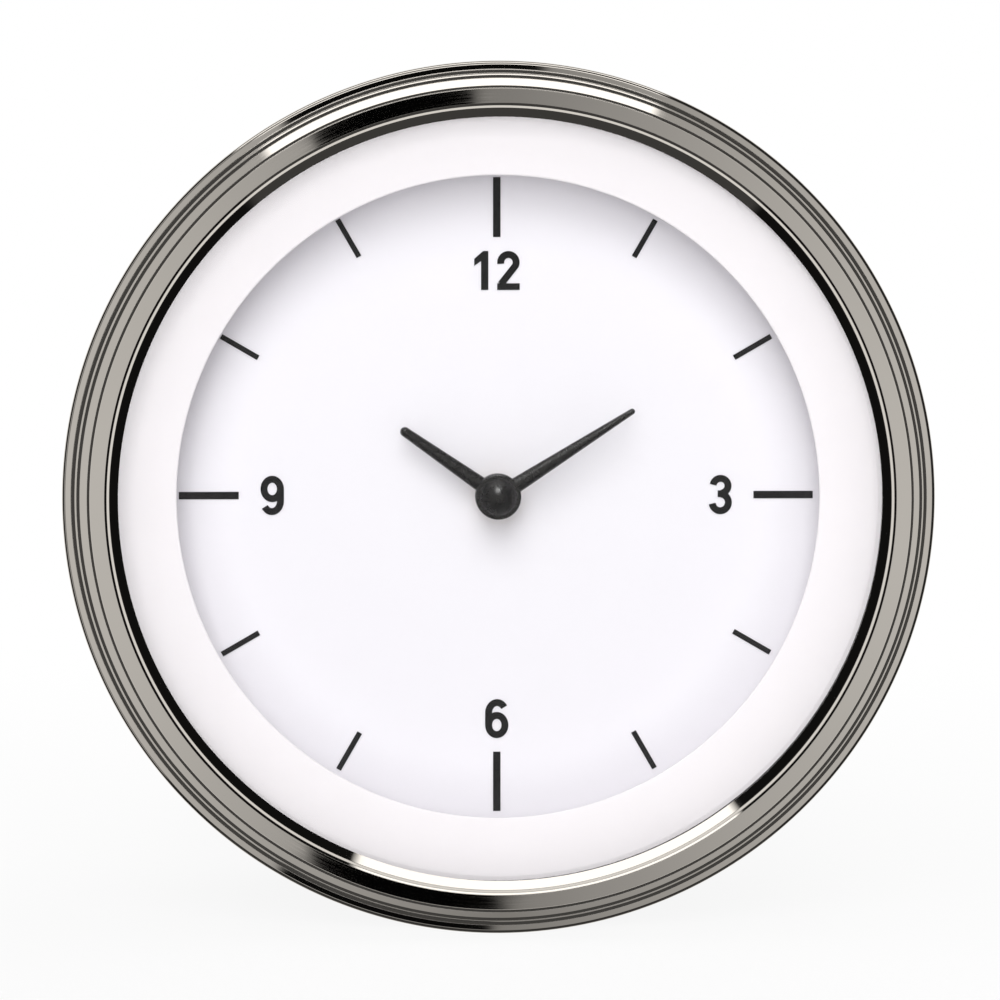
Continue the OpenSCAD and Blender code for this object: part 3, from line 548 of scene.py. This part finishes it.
class CLOCK_OT_bezel(PieceMaker, bpy.types.Operator):
    """Turn the bezel with its leaning lands, chamfered steps, bead, inner slope and rear lip"""
    bl_idname = "clock.bezel"
    bl_label = "Bezel"

    def execute(self, context):
        s = self.sizes
        low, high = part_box("bezel")
        rim, front, rear = high.x, low.y, high.y
        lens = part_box("lens")[0].y
        play, hair = 0.25 * MM, 0.02 * MM
        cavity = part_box("lens")[1].x + play
        one = rim - s.land_one
        ledge = one - 0.4 * s.run_one
        shelf = one - 0.65 * s.run_one
        two = one - s.run_one
        foot = two - s.land_two
        edge = foot - s.run_two
        top = edge - s.land_top
        two_y = front + s.rise_two
        one_y = two_y + s.rise_one
        ledge_y = (one_y + two_y) / 2
        ledge_out = ledge_y + (ledge - shelf) * np.tan(s.lean_one)
        two_out = two_y + s.land_two * np.tan(s.lean_two)
        top_y = front + s.land_top * np.tan(s.lean_top)
        groove = top - s.bead * 0.42
        inner = top - s.bead
        bead_y = top_y + s.bead * 0.45
        groove_y = bead_y - 0.01 * MM
        window_y = bead_y + 0.9 * (inner - s.window)
        crisp, slope = s.step_round / 2, np.tan(s.chamfer)
        outline = rounded([
            (s.lip_radius, rear, 0), (rim, rear, s.rim_round),
            (rim, one_y + s.land_one * np.tan(s.lean_one), s.rim_round), (one, one_y, crisp),
            (one, ledge_out + (one - ledge) * slope, crisp), (ledge, ledge_out, crisp),
            (shelf, ledge_y, crisp / 2), (shelf, two_out + (shelf - two) * slope, crisp / 2),
            (two, two_out, crisp), (foot, two_y, crisp),
            (foot, front + s.run_two * slope, crisp), (edge, front, crisp), (top, top_y, crisp),
            (groove, groove_y, crisp), (inner, bead_y, crisp), (s.window, window_y, hair),
            (s.window + s.undercut, lens, 0), (cavity, lens, 0), (cavity, rear - s.lip, 0),
            (s.lip_radius, rear - s.lip, 0)])
        place("polished_bezel", turned(outline, FINE, ring=True), "clock_body", "bezel_polished", "bezel")
        return {"FINISHED"}


class CLOCK_OT_glass(PieceMaker, bpy.types.Operator):
    """Grind the flat glass with eased edges"""
    bl_idname = "clock.glass"
    bl_label = "Glass"

    def execute(self, context):
        low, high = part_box("lens")
        eased = 0.25 * MM
        profile = np.array([
            (0, low.y), (high.x - eased, low.y), (high.x, low.y + eased),
            (high.x, high.y - eased), (high.x - eased, high.y), (0, high.y)])
        place("clear_glass", turned(profile, FINE), "clock_body", "lens_glass", "lens")
        return {"FINISHED"}


class CLOCK_OT_dial(PieceMaker, bpy.types.Operator):
    """Shape the white ring and the dial"""
    bl_idname = "clock.dial"
    bl_label = "Dial"

    def execute(self, context):
        s = self.sizes
        low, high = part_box("spacer_ring")
        edge = low.y + s.ring_fall
        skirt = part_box("case")[0].y
        outer, bore = high.x, s.aperture
        shelf = s.window + 0.15 * MM
        ledge = s.case_radius - 1.15 * MM
        ring = rounded([
            (bore + s.ring_gap, high.y, 0), (bore, edge, 0.14 * MM),
            (shelf, low.y, 0.3 * MM), (outer, low.y, 0), (outer, skirt, 0),
            (outer - s.ring_wall, skirt, 0), (outer - s.ring_wall, low.y + s.ring_wall, 0),
            (ledge, low.y + s.ring_wall, 0), (bore + s.ring_wall, edge + s.ring_wall, 0),
            (bore + s.ring_gap + s.ring_wall / 2, high.y, 0)])
        place("white_ring", turned(ring, FINE, ring=True), "clock_body", "ring_white", "spacer_ring")
        low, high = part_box("dial")
        hole, eased = s.hub - 0.2 * MM, 0.08 * MM
        disc = rounded([
            (hole, low.y, eased), (high.x, low.y, eased), (high.x, high.y, eased), (hole, high.y, eased)])
        place("painted_dial", turned(disc, FINE, ring=True), "clock_body", "dial_white", "dial")
        return {"FINISHED"}


class CLOCK_OT_hands(PieceMaker, bpy.types.Operator):
    """Press the two round-topped hands and the domed cap"""
    bl_idname = "clock.hands"
    bl_label = "Hands"

    @staticmethod
    def blade(reach, base, tip, back, front, clockwise):
        """A tapering bar: at each station, the section is a flat back, two sides and half an ellipse.

        The half width falls evenly from the hub, and at the end as the side of a half circle.
        """
        straight = np.linspace(0, reach - tip / 2, 24)
        bow = np.linspace(0, np.pi / 2, 9)[1:]
        along = np.concatenate([straight, reach - tip / 2 + tip / 2 * np.sin(bow)])
        taper = (base + (tip - base) * straight / straight[-1]) / 2
        half = np.concatenate([taper, tip / 2 * np.maximum(np.cos(bow), 0.06)])
        arch = np.linspace(0, np.pi, 17)
        across = np.concatenate([[-1], -np.cos(arch), [1]])
        lift = np.concatenate([[0], 0.35 + 0.65 * np.sin(arch), [0]])
        u = along[:, None] * np.ones_like(across)
        v = half[:, None] * across
        y = back + (front - back) * lift * np.minimum(1, 0.3 + half[:, None] / (tip / 2) * 0.7)
        x = u * np.sin(clockwise) + v * np.cos(clockwise)
        z = u * np.cos(clockwise) - v * np.sin(clockwise)
        return lofted(np.stack([x, y, z], -1))

    def execute(self, context):
        s = self.sizes
        minute = np.radians(6 * s.shown)
        hour = np.radians(30 * (10 + s.shown / 60))
        hands = {
            "minute": (s.minute_length, s.minute_base, s.minute_tip, minute),
            "hour": (s.hour_length, s.hour_base, s.hour_tip, hour)}
        for name, (reach, base, tip, clockwise) in hands.items():
            low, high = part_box(name + "_hand")
            eased = 0.14 * MM
            hub = rounded([(0, high.y, 0), (s.hub, high.y, eased), (s.hub, low.y, eased), (0, low.y, 0)],
                          closed=False)
            shell = joined(self.blade(reach, base, tip, high.y, low.y, clockwise), turned(hub, SMALL))
            place("rounded_" + name + "_hand", shell, name + "_body", "hand_black", name + "_hand")
        low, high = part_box("hand_cap")
        out = np.linspace(1, 0, 17)
        wall = (high.y - low.y) / 3
        dome = np.stack([high.x * out, high.y - wall - (high.y - low.y - wall) * (1 - out ** 2)], -1)
        cap = np.concatenate([[(0, high.y), (high.x, high.y)], dome])
        place("domed_cap", turned(cap, SMALL), "minute_body", "hand_black", "hand_cap")
        return {"FINISHED"}


class CLOCK_OT_case(PieceMaker, bpy.types.Operator):
    """Mould the case cup with its front flange and rounded rear edge, and the terminal block"""
    bl_idname = "clock.case"
    bl_label = "Case"

    @staticmethod
    def block(low, high):
        """A box with rounded corners: a rounded outline drawn in along its normals as it nears the rear."""
        corner, eased = 0.9 * MM, 0.45 * MM
        outline = rounded([(low.x, low.z, corner), (high.x, low.z, corner),
                           (high.x, high.z, corner), (low.x, high.z, corner)], 8)
        step = np.roll(outline, -1, 0) - np.roll(outline, 1, 0)
        normal = np.stack([step[:, 1], -step[:, 0]], -1) / np.linalg.norm(step, axis=1)[:, None]
        bow = np.linspace(0, np.pi / 2, 7)
        inset = np.concatenate([[0], eased * (1 - np.cos(bow))])
        depth = np.concatenate([[low.y], high.y - eased + eased * np.sin(bow)])
        flat = outline[None] - normal[None] * inset[:, None, None]
        y = np.broadcast_to(depth[:, None], flat.shape[:2])
        return lofted(np.stack([flat[..., 0], y, flat[..., 1]], -1))

    def execute(self, context):
        s = self.sizes
        low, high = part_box("case")
        brim, neck = low.y, low.y + s.flange
        seat, bore = s.case_radius - 0.9 * MM, s.case_radius - s.case_wall
        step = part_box("dial")[1].y
        floor = high.y - s.case_wall
        cup = rounded([
            (0, floor, 0), (bore, floor, 0.6 * MM), (bore, step, 0), (seat, step, 0), (seat, brim, 0),
            (high.x, brim, 0), (high.x, neck, 0), (s.case_radius, neck, 0),
            (s.case_radius, high.y, 1.0 * MM), (0, high.y, 0)], 10, closed=False)
        place("moulded_case", turned(cup, FINE), "clock_body", "case_black", "case")
        block = self.block(*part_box("terminal_block"))
        place("moulded_terminal_block", block, "clock_body", "case_black", "terminal_block")
        return {"FINISHED"}


class CLOCK_OT_setting(PieceMaker, bpy.types.Operator):
    """Turn the brass bush and mould the fluted setting knob"""
    bl_idname = "clock.setting"
    bl_label = "Setting knob"

    def execute(self, context):
        low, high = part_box("stem_bush")
        up = (low.z + high.z) / 2
        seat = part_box("case")[1].y
        rim, eased = high.x, 0.2 * MM
        barrel, bore = rim - 0.8 * MM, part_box("set_stem")[1].x + 0.05 * MM
        bush = rounded([
            (bore, low.y, 0), (barrel, low.y, 0), (barrel, seat, 0), (rim, seat, 0),
            (rim, high.y, eased), (bore, high.y, eased)])
        shell = turned(bush, SMALL, (0, up), ring=True)
        place("turned_bush", shell, "clock_body", "plate_brass", "stem_bush")
        low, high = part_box("set_knob")
        grip, collar = high.x, high.x - 0.9 * MM
        shoulder = low.y + 1.5 * MM
        rear, dish, flute = high.y, 0.35 * MM, 0.25 * MM
        knob = rounded([
            (0, low.y, 0), (collar, low.y, eased), (collar, shoulder, eased), (grip, shoulder, 2 * eased),
            (grip, rear, 2.5 * eased), (0.62 * grip, rear, eased), (0.5 * grip, rear - dish, eased),
            (0, rear - dish, 0)], closed=False)
        count = self.sizes.knob_flutes
        shell = turned(knob, 12 * count, (0, up), flutes(count, flute, collar))
        place("fluted_knob", shell, "set_body", "case_black", "set_knob")
        return {"FINISHED"}


class CLOCK_OT_fixing(PieceMaker, bpy.types.Operator):
    """Make the threaded studs, jam nuts, clamp strip, split washers and fluted thumb nuts"""
    bl_idname = "clock.fixing"
    bl_label = "Rear clamp"

    def stud(self, x, radius, head, start, end):
        """A headed rod with a helical thread and a chamfered end."""
        s = self.sizes
        point, flange = 0.5 * MM, 1.5 * MM
        rings = np.arange(start, end - point, s.thread / 8)
        rod = np.stack([np.full_like(rings, radius), rings], -1)
        profile = np.concatenate([
            [(0, start - flange), (head, start - flange), (head, start)], rod,
            [(radius - point, end), (0, end)]])
        case_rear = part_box("case")[1].y
        return turned(profile, 48, (x, 0), screw_thread(s.thread, s.thread_cut, case_rear, end))

    def strip(self, low, high):
        """A flat bar bent to a U: its rounded section carried along two legs, two bends and a bridge.

        The legs' ends draw in by a small rounding.
        """
        s = self.sizes
        middle = s.strip / 2
        bend = s.bend + middle
        leg, bridge, foot = high.x - middle, high.y - middle, low.y
        bow = np.linspace(0, np.pi / 2, 13)
        ends = foot + 0.3 * MM * np.array([0, 0.3, 1])
        right = np.concatenate([
            np.stack([np.full(3, leg), ends], -1),
            np.stack([leg - bend + bend * np.cos(bow), bridge - bend + bend * np.sin(bow)], -1)])
        path = np.concatenate([right, (right * (-1, 1))[::-1]])
        run = np.gradient(path, axis=0)
        run /= np.linalg.norm(run, axis=1)[:, None]
        out = np.stack([run[:, 1], -run[:, 0]], -1)
        shrink = np.ones(len(path))
        shrink[[0, 1, -2, -1]] = 0.62, 0.88, 0.88, 0.62
        half = (high.z - low.z) / 2
        edge = 0.35 * MM
        section = rounded([(-middle, -half, edge), (middle, -half, edge),
                           (middle, half, edge), (-middle, half, edge)], 6)
        thick = section[None, :, 0] * shrink[:, None]
        wide = section[None, :, 1] - np.sign(section[None, :, 1]) * (1 - shrink[:, None]) * edge
        plan = path[:, None] + out[:, None] * thick[..., None]
        return lofted(np.stack([plan[..., 0], plan[..., 1], wide], -1))

    def washer(self, x, inner, outer, low, high):
        """A split ring: a rounded section carried round an arc that stops short at a gap."""
        gap, eased = 0.3 * MM / outer, 0.12 * MM
        turn = np.linspace(gap, TAU - gap, SMALL)[:, None]
        section = rounded([(inner, low, eased), (outer, low, eased),
                           (outer, high, eased), (inner, high, eased)], 4)[None]
        r, y = section[..., 0], np.broadcast_to(section[..., 1], (SMALL, section.shape[1]))
        return lofted(np.stack([x + r * np.cos(turn), y, r * np.sin(turn)], -1))

    def thumb_nut(self, x, radius, bore, low, high):
        """A fluted drum on a plain collar, bored through and eased at every edge."""
        eased, flute = 0.25 * MM, 0.3 * MM
        collar, shoulder = radius - 1.4 * MM, low + 1.6 * MM
        outline = rounded([
            (bore, low, eased), (collar, low, eased), (collar, shoulder, eased),
            (radius, shoulder, 2 * eased), (radius, high, 2 * eased), (0.62 * radius, high, eased),
            (0.58 * radius, high - eased, eased / 2), (bore, high - eased, eased)], 6)
        count = self.sizes.nut_flutes
        return turned(outline, 12 * count, (x, 0), flutes(count, flute, collar), ring=True)

    def execute(self, context):
        s = self.sizes
        low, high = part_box("mounting_studs")
        nut_low, nut_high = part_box("jam_nuts")
        head = high.z
        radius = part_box("lock_washers")[1].z - 2 * MM
        drilled, bored = radius + 0.25 * MM, radius + 0.05 * MM
        case_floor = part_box("case")[1].y - s.case_wall
        places = [sum(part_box(side + "_nut"), Vector()).x / 2 for side in ("left", "right")]
        studs = joined(*[self.stud(x, radius, head, case_floor, high.y) for x in places])
        place("threaded_studs", studs, "clock_body", "zinc_steel", "mounting_studs")
        corner = nut_high.z
        across = corner * np.sqrt(3)
        bevel = 0.4 * MM
        drum = rounded([
            (radius, nut_low.y, 0), (corner - bevel, nut_low.y, 0), (corner, nut_low.y + bevel / 2, 0),
            (corner, nut_high.y - bevel / 2, 0), (corner - bevel, nut_high.y, 0),
            (radius + bevel, nut_high.y, 0), (radius, nut_high.y - bevel, 0)])
        nuts = joined(*[turned(drum, SMALL, (x, 0), hexagon(across), ring=True) for x in places])
        place("hex_jam_nuts", nuts, "clock_body", "zinc_steel", "jam_nuts")
        low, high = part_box("clamp")
        clamp = place("bent_clamp", self.strip(low, high), "clamp_body", "zinc_steel", "clamp")
        drill = np.array([(0, high.y - 2 * s.strip), (drilled, high.y - 2 * s.strip),
                          (drilled, high.y + s.strip), (0, high.y + s.strip)])
        for x in places:
            cut_out(clamp, turned(drill, SMALL, (x, 0)))
        low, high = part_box("lock_washers")
        washers = joined(*[self.washer(x, drilled, high.z, low.y, high.y) for x in places])
        place("split_washers", washers, "clamp_body", "zinc_steel", "lock_washers")
        for side, x in zip(("left", "right"), places):
            low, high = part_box(side + "_nut")
            shell = self.thumb_nut(x, high.z, bored, low.y, high.y)
            place("fluted_" + side + "_nut", shell, side + "_nut_body", "nut_brass", side + "_nut")
        return {"FINISHED"}


class CLOCK_OT_inside(PieceMaker, bpy.types.Operator):
    """Give the printed marks, the terminals and the movement inside the case their finishes"""
    bl_idname = "clock.inside"
    bl_label = "Movement and print"

    def execute(self, context):
        slots = {part["node"]: part["material_slot"] for part in frame["record"]["subparts"]}
        for name, node in frame["nodes"].items():
            node.data.materials.clear()
            node.data.materials.append(finish_of(slots[name]))
        return {"FINISHED"}


class CLOCK_OT_stage(PieceMaker, bpy.types.Operator):
    """Set the white floor and background, the soft lamps, the studio card that mirrors see and the camera"""
    bl_idname = "clock.stage"
    bl_label = "Stage"

    # Camera: degrees left of and above straight on, lens in millimetres, and the bezel's share of the picture
    left_of, above, lens, share = 2.4, 2.6, 150.0, 0.872
    # Card ahead: brightness above and below, and what the sides add to it
    ahead = (0.2394, 0.3306)
    # Zones of the card: degrees off the mirrored camera axis, width of the change, brightness
    zones = ((26, 4, 0.03), (62, 6, 0.006), (92, 4, 0.06), (112, 12, 0.8))
    # Patches of the card: degrees off the mirrored camera axis from and to, middle and half width
    # clockwise from twelve, brightness
    patches = (
        (-1, 3.5, 90, 200, 0.8),
        (3.5, 10, 164, 12, 0.001), (3.5, 10, 14, 15, 0.001),
        (10.5, 18, 348, 18, 0.003), (10.5, 18, 196, 15, 0.003),
        (18, 27, 354, 28, 1.5),
        (66, 90, 353, 30, 1.4), (60, 100, 180, 40, 0.05),
        (35, 60, 300, 70, 0.32))
    warm = (1.03, 1.0, 0.95)

    @staticmethod
    def rays(tree):
        """1 for what the camera, mirrors and clear pieces look at, 0 for what only gives light."""
        path = tree.nodes.new("ShaderNodeLightPath")
        first, second = (tree.nodes.new("ShaderNodeMath") for _ in range(2))
        first.operation = second.operation = "MAXIMUM"
        tree.links.new(path.outputs["Is Camera Ray"], first.inputs[0])
        tree.links.new(path.outputs["Is Glossy Ray"], first.inputs[1])
        tree.links.new(first.outputs["Value"], second.inputs[0])
        tree.links.new(path.outputs["Is Transmission Ray"], second.inputs[1])
        return second.outputs["Value"]

    def world(self):
        """White to look at, softer as light."""
        world = bpy.data.worlds.new("white_room")
        world.use_nodes = True
        tree = world.node_tree
        light = tree.nodes["Background"]
        light.inputs["Color"].default_value = (1.0, 0.99, 0.995, 1)
        light.inputs["Strength"].default_value = 0.42
        white = tree.nodes.new("ShaderNodeBackground")
        white.inputs["Color"].default_value = (1, 1, 1, 1)
        mix = tree.nodes.new("ShaderNodeMixShader")
        tree.links.new(self.rays(tree), mix.inputs["Fac"])
        tree.links.new(light.outputs["Background"], mix.inputs[1])
        tree.links.new(white.outputs["Background"], mix.inputs[2])
        tree.links.new(mix.outputs["Shader"], tree.nodes["World Output"].inputs["Surface"])
        bpy.context.scene.world = world

    def floor(self, height):
        """A pale floor that keeps the clock's shadow and meets the white background unseen."""
        reach = 3.0
        points = [(reach * x, reach * y, height) for x, y in ((-1, -1), (1, -1), (1, 1), (-1, 1))]
        mesh = bpy.data.meshes.new("floor")
        mesh.from_pydata(points, [], [(0, 1, 2, 3)])
        made = Finish("floor_white", Roughness=0.9)
        made.tint(made.noise(30), (0.86, 0.86, 0.86), (0.9, 0.9, 0.9))
        glow = made.node("ShaderNodeEmission")
        away = made.node("ShaderNodeVectorMath", operation="LENGTH")
        made.link(made.coords, away.inputs[0])
        fade = made.node("ShaderNodeMapRange", interpolation_type="SMOOTHSTEP")
        for socket, value in zip(("From Min", "From Max", "To Min", "To Max"), (0.06, 0.25, 0.9, 1.0)):
            fade.inputs[socket].default_value = value
        made.link(away.outputs["Value"], fade.inputs["Value"])
        weaken = made.node("ShaderNodeMath", operation="MULTIPLY")
        made.link(fade.outputs["Result"], weaken.inputs[1])
        mix = made.node("ShaderNodeMixShader")
        made.link(self.rays(made.tree), weaken.inputs[0])
        made.link(weaken.outputs["Value"], mix.inputs["Fac"])
        made.link(made.shader.outputs["BSDF"], mix.inputs[1])
        made.link(glow.outputs["Emission"], mix.inputs[2])
        made.link(mix.outputs["Shader"], made.tree.nodes["Material Output"].inputs["Surface"])
        mesh.materials.append(made.material)
        floor = self.show("floor", mesh)
        floor.visible_glossy = False
        return floor

    @staticmethod
    def show(name, data):
        """Put a mesh, lamp or camera into the scene."""
        made = bpy.data.objects.new(name, data)
        bpy.context.scene.collection.objects.link(made)
        return made

    @staticmethod
    def toward(off_axis, clockwise):
        """Unit direction in front of the dial, by its angle off the axis and round the dial."""
        off, turn = np.radians(off_axis), np.radians(clockwise)
        return np.sin(off) * np.sin(turn), -np.cos(off), np.sin(off) * np.cos(turn)

    def card(self):
        """A shell all round that only mirrors see: grey ahead, dark at the sides and bright behind.

        Each zone takes over from an angle off the axis. Each patch replaces the brightness between two angles
        off the axis and within a turn of its middle.
        """
        rows, columns = 352, 480
        off, turn = np.meshgrid(
            np.linspace(0.01, 176, rows), np.linspace(0, 360, columns, endpoint=False), indexing="ij")
        points = 4.0 * np.stack(self.toward(off, turn), -1)
        across = off * np.sin(np.radians(turn)) - self.left_of
        along = off * np.cos(np.radians(turn)) + self.above
        off, turn = np.hypot(across, along), np.degrees(np.arctan2(across, along))
        light = self.ahead[0] + self.ahead[1] * np.abs(np.sin(np.radians(turn)))
        for start, width, value in self.zones:
            light = light + (value - light) * np.clip((off - start) / width, 0, 1)
        for inner, outer, middle, half, value in self.patches:
            ring = np.clip((off - inner) / 0.8 + 0.5, 0, 1) * np.clip((outer - off) / 0.8 + 0.5, 0, 1)
            away = np.abs((turn - middle + 180) % 360 - 180)
            light = light + (value - light) * ring * np.clip((half - away) / 1.5 + 0.5, 0, 1)
        mesh = bpy.data.meshes.new("studio_card")
        mesh.from_pydata(points.reshape(-1, 3).tolist(), [], quads(rows, columns))
        paint = np.concatenate([light[..., None] * self.warm, np.ones_like(light)[..., None]], -1)
        mesh.color_attributes.new("light", "FLOAT_COLOR", "POINT").data.foreach_set("color", paint.ravel())
        made = Finish("card_soft")
        shown = made.node("ShaderNodeAttribute", attribute_name="light")
        glow = made.node("ShaderNodeEmission")
        made.link(shown.outputs["Color"], glow.inputs["Color"])
        made.link(glow.outputs["Emission"], made.tree.nodes["Material Output"].inputs["Surface"])
        made.tree.nodes.remove(made.shader)
        mesh.materials.append(made.material)
        card = self.show("studio_card", mesh)
        for kind in ("camera", "diffuse", "transmission", "volume_scatter", "shadow"):
            setattr(card, "visible_" + kind, False)
        return card

    def lamp(self, name, place, size, power):
        """A square soft lamp aimed at the dial, which mirrors don't see."""
        data = bpy.data.lights.new(name, "AREA")
        data.size, data.energy = size, power
        made = self.show(name, data)
        made.location = place
        made.rotation_euler = (-Vector(place)).to_track_quat("-Z", "Y").to_euler()
        made.visible_glossy = False
        return made

    def glint(self, lamp):
        """Keep a lamp for the hands and their cap, which mirror it."""
        lit = bpy.data.collections.new("glint_pieces")
        for name in ("rounded_minute_hand", "rounded_hour_hand", "domed_cap", "clear_glass"):
            lit.objects.link(bpy.data.objects[name])
        lamp.light_linking.receiver_collection = lit
        lamp.visible_glossy = True
        return lamp

    def past_bezel(self, lamp):
        """Let a lamp reach the white ring past the bezel, which casts no shadow of it."""
        passed = bpy.data.collections.new("passed_bezel")
        passed.objects.link(bpy.data.objects["polished_bezel"])
        passed.collection_objects[0].light_linking.link_state = "EXCLUDE"
        lamp.light_linking.blocker_collection = passed
        return lamp

    def camera(self):
        """A long lens a little left of and above straight on, as far off as the bezel's share asks."""
        data = bpy.data.cameras.new("camera")
        data.lens = self.lens
        low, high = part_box("bezel")
        aim = Vector((0, (low.y + high.y) / 2, -0.1 * MM))
        wide = 2 * high.x / self.share
        back = Vector(self.toward(self.above, 0)) + Vector((-np.sin(np.radians(self.left_of)), 0, 0))
        made = self.show("camera", data)
        made.location = aim + back.normalized() * (wide * self.lens / data.sensor_width)
        made.rotation_euler = (aim - made.location).to_track_quat("-Z", "Y").to_euler()
        data.clip_start, data.clip_end = 0.01, 20
        bpy.context.scene.camera = made

    def execute(self, context):
        context.scene.view_settings.view_transform = "Standard"
        self.world()
        floor = self.floor(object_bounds()[0].z)
        key = self.lamp("key_lamp", (-0.1, -0.98, 0.14), 0.42, 3.3)
        top = self.past_bezel(self.lamp("top_lamp", (-0.08, -0.78, 0.62), 0.6, 5.0))
        rear = self.lamp("rear_lamp", (0.3, 0.85, 0.6), 0.6, 4.0)
        glint = self.glint(self.lamp("glint_lamp", (-0.05, -0.74, 0.66), 0.45, 5.0))
        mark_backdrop(floor, self.card(), key, top, rear, glint)
        self.camera()
        return {"FINISHED"}


BUILDERS = (
    CLOCK_OT_inside, CLOCK_OT_bezel, CLOCK_OT_glass, CLOCK_OT_dial, CLOCK_OT_hands, CLOCK_OT_case,
    CLOCK_OT_setting, CLOCK_OT_fixing, CLOCK_OT_stage)


class CLOCK_PT_panel(bpy.types.Panel):
    """Sidebar list of the clock's pieces"""
    bl_idname = "CLOCK_PT_panel"
    bl_label = "Dashboard clock"
    bl_space_type = "VIEW_3D"
    bl_region_type = "UI"
    bl_category = "Clock"

    def draw(self, context):
        """List the builders, then every size and colour."""
        for builder in BUILDERS:
            self.layout.operator(builder.bl_idname)
        for settings in (context.scene.clock_sizes, context.scene.clock_colours):
            box = self.layout.box()
            for name in settings.bl_rna.properties.keys():
                if name not in ("rna_type", "name"):
                    box.prop(settings, name)


CLASSES = (ClockSizes, ClockColours, *BUILDERS, CLOCK_PT_panel)


def register():
    """Add the classes and the scene's settings."""
    for each in CLASSES:
        bpy.utils.register_class(each)
    bpy.types.Scene.clock_sizes = bpy.props.PointerProperty(type=ClockSizes)
    bpy.types.Scene.clock_colours = bpy.props.PointerProperty(type=ClockColours)


def unregister():
    """Take the settings and the classes away again."""
    del bpy.types.Scene.clock_sizes, bpy.types.Scene.clock_colours
    for each in reversed(CLASSES):
        bpy.utils.unregister_class(each)


def main():
    """Build the pieces and the stage in order."""
    register()
    for builder in BUILDERS:
        group, name = builder.bl_idname.split(".")
        getattr(getattr(bpy.ops, group), name)()


if __name__ == "__main__":
    main()
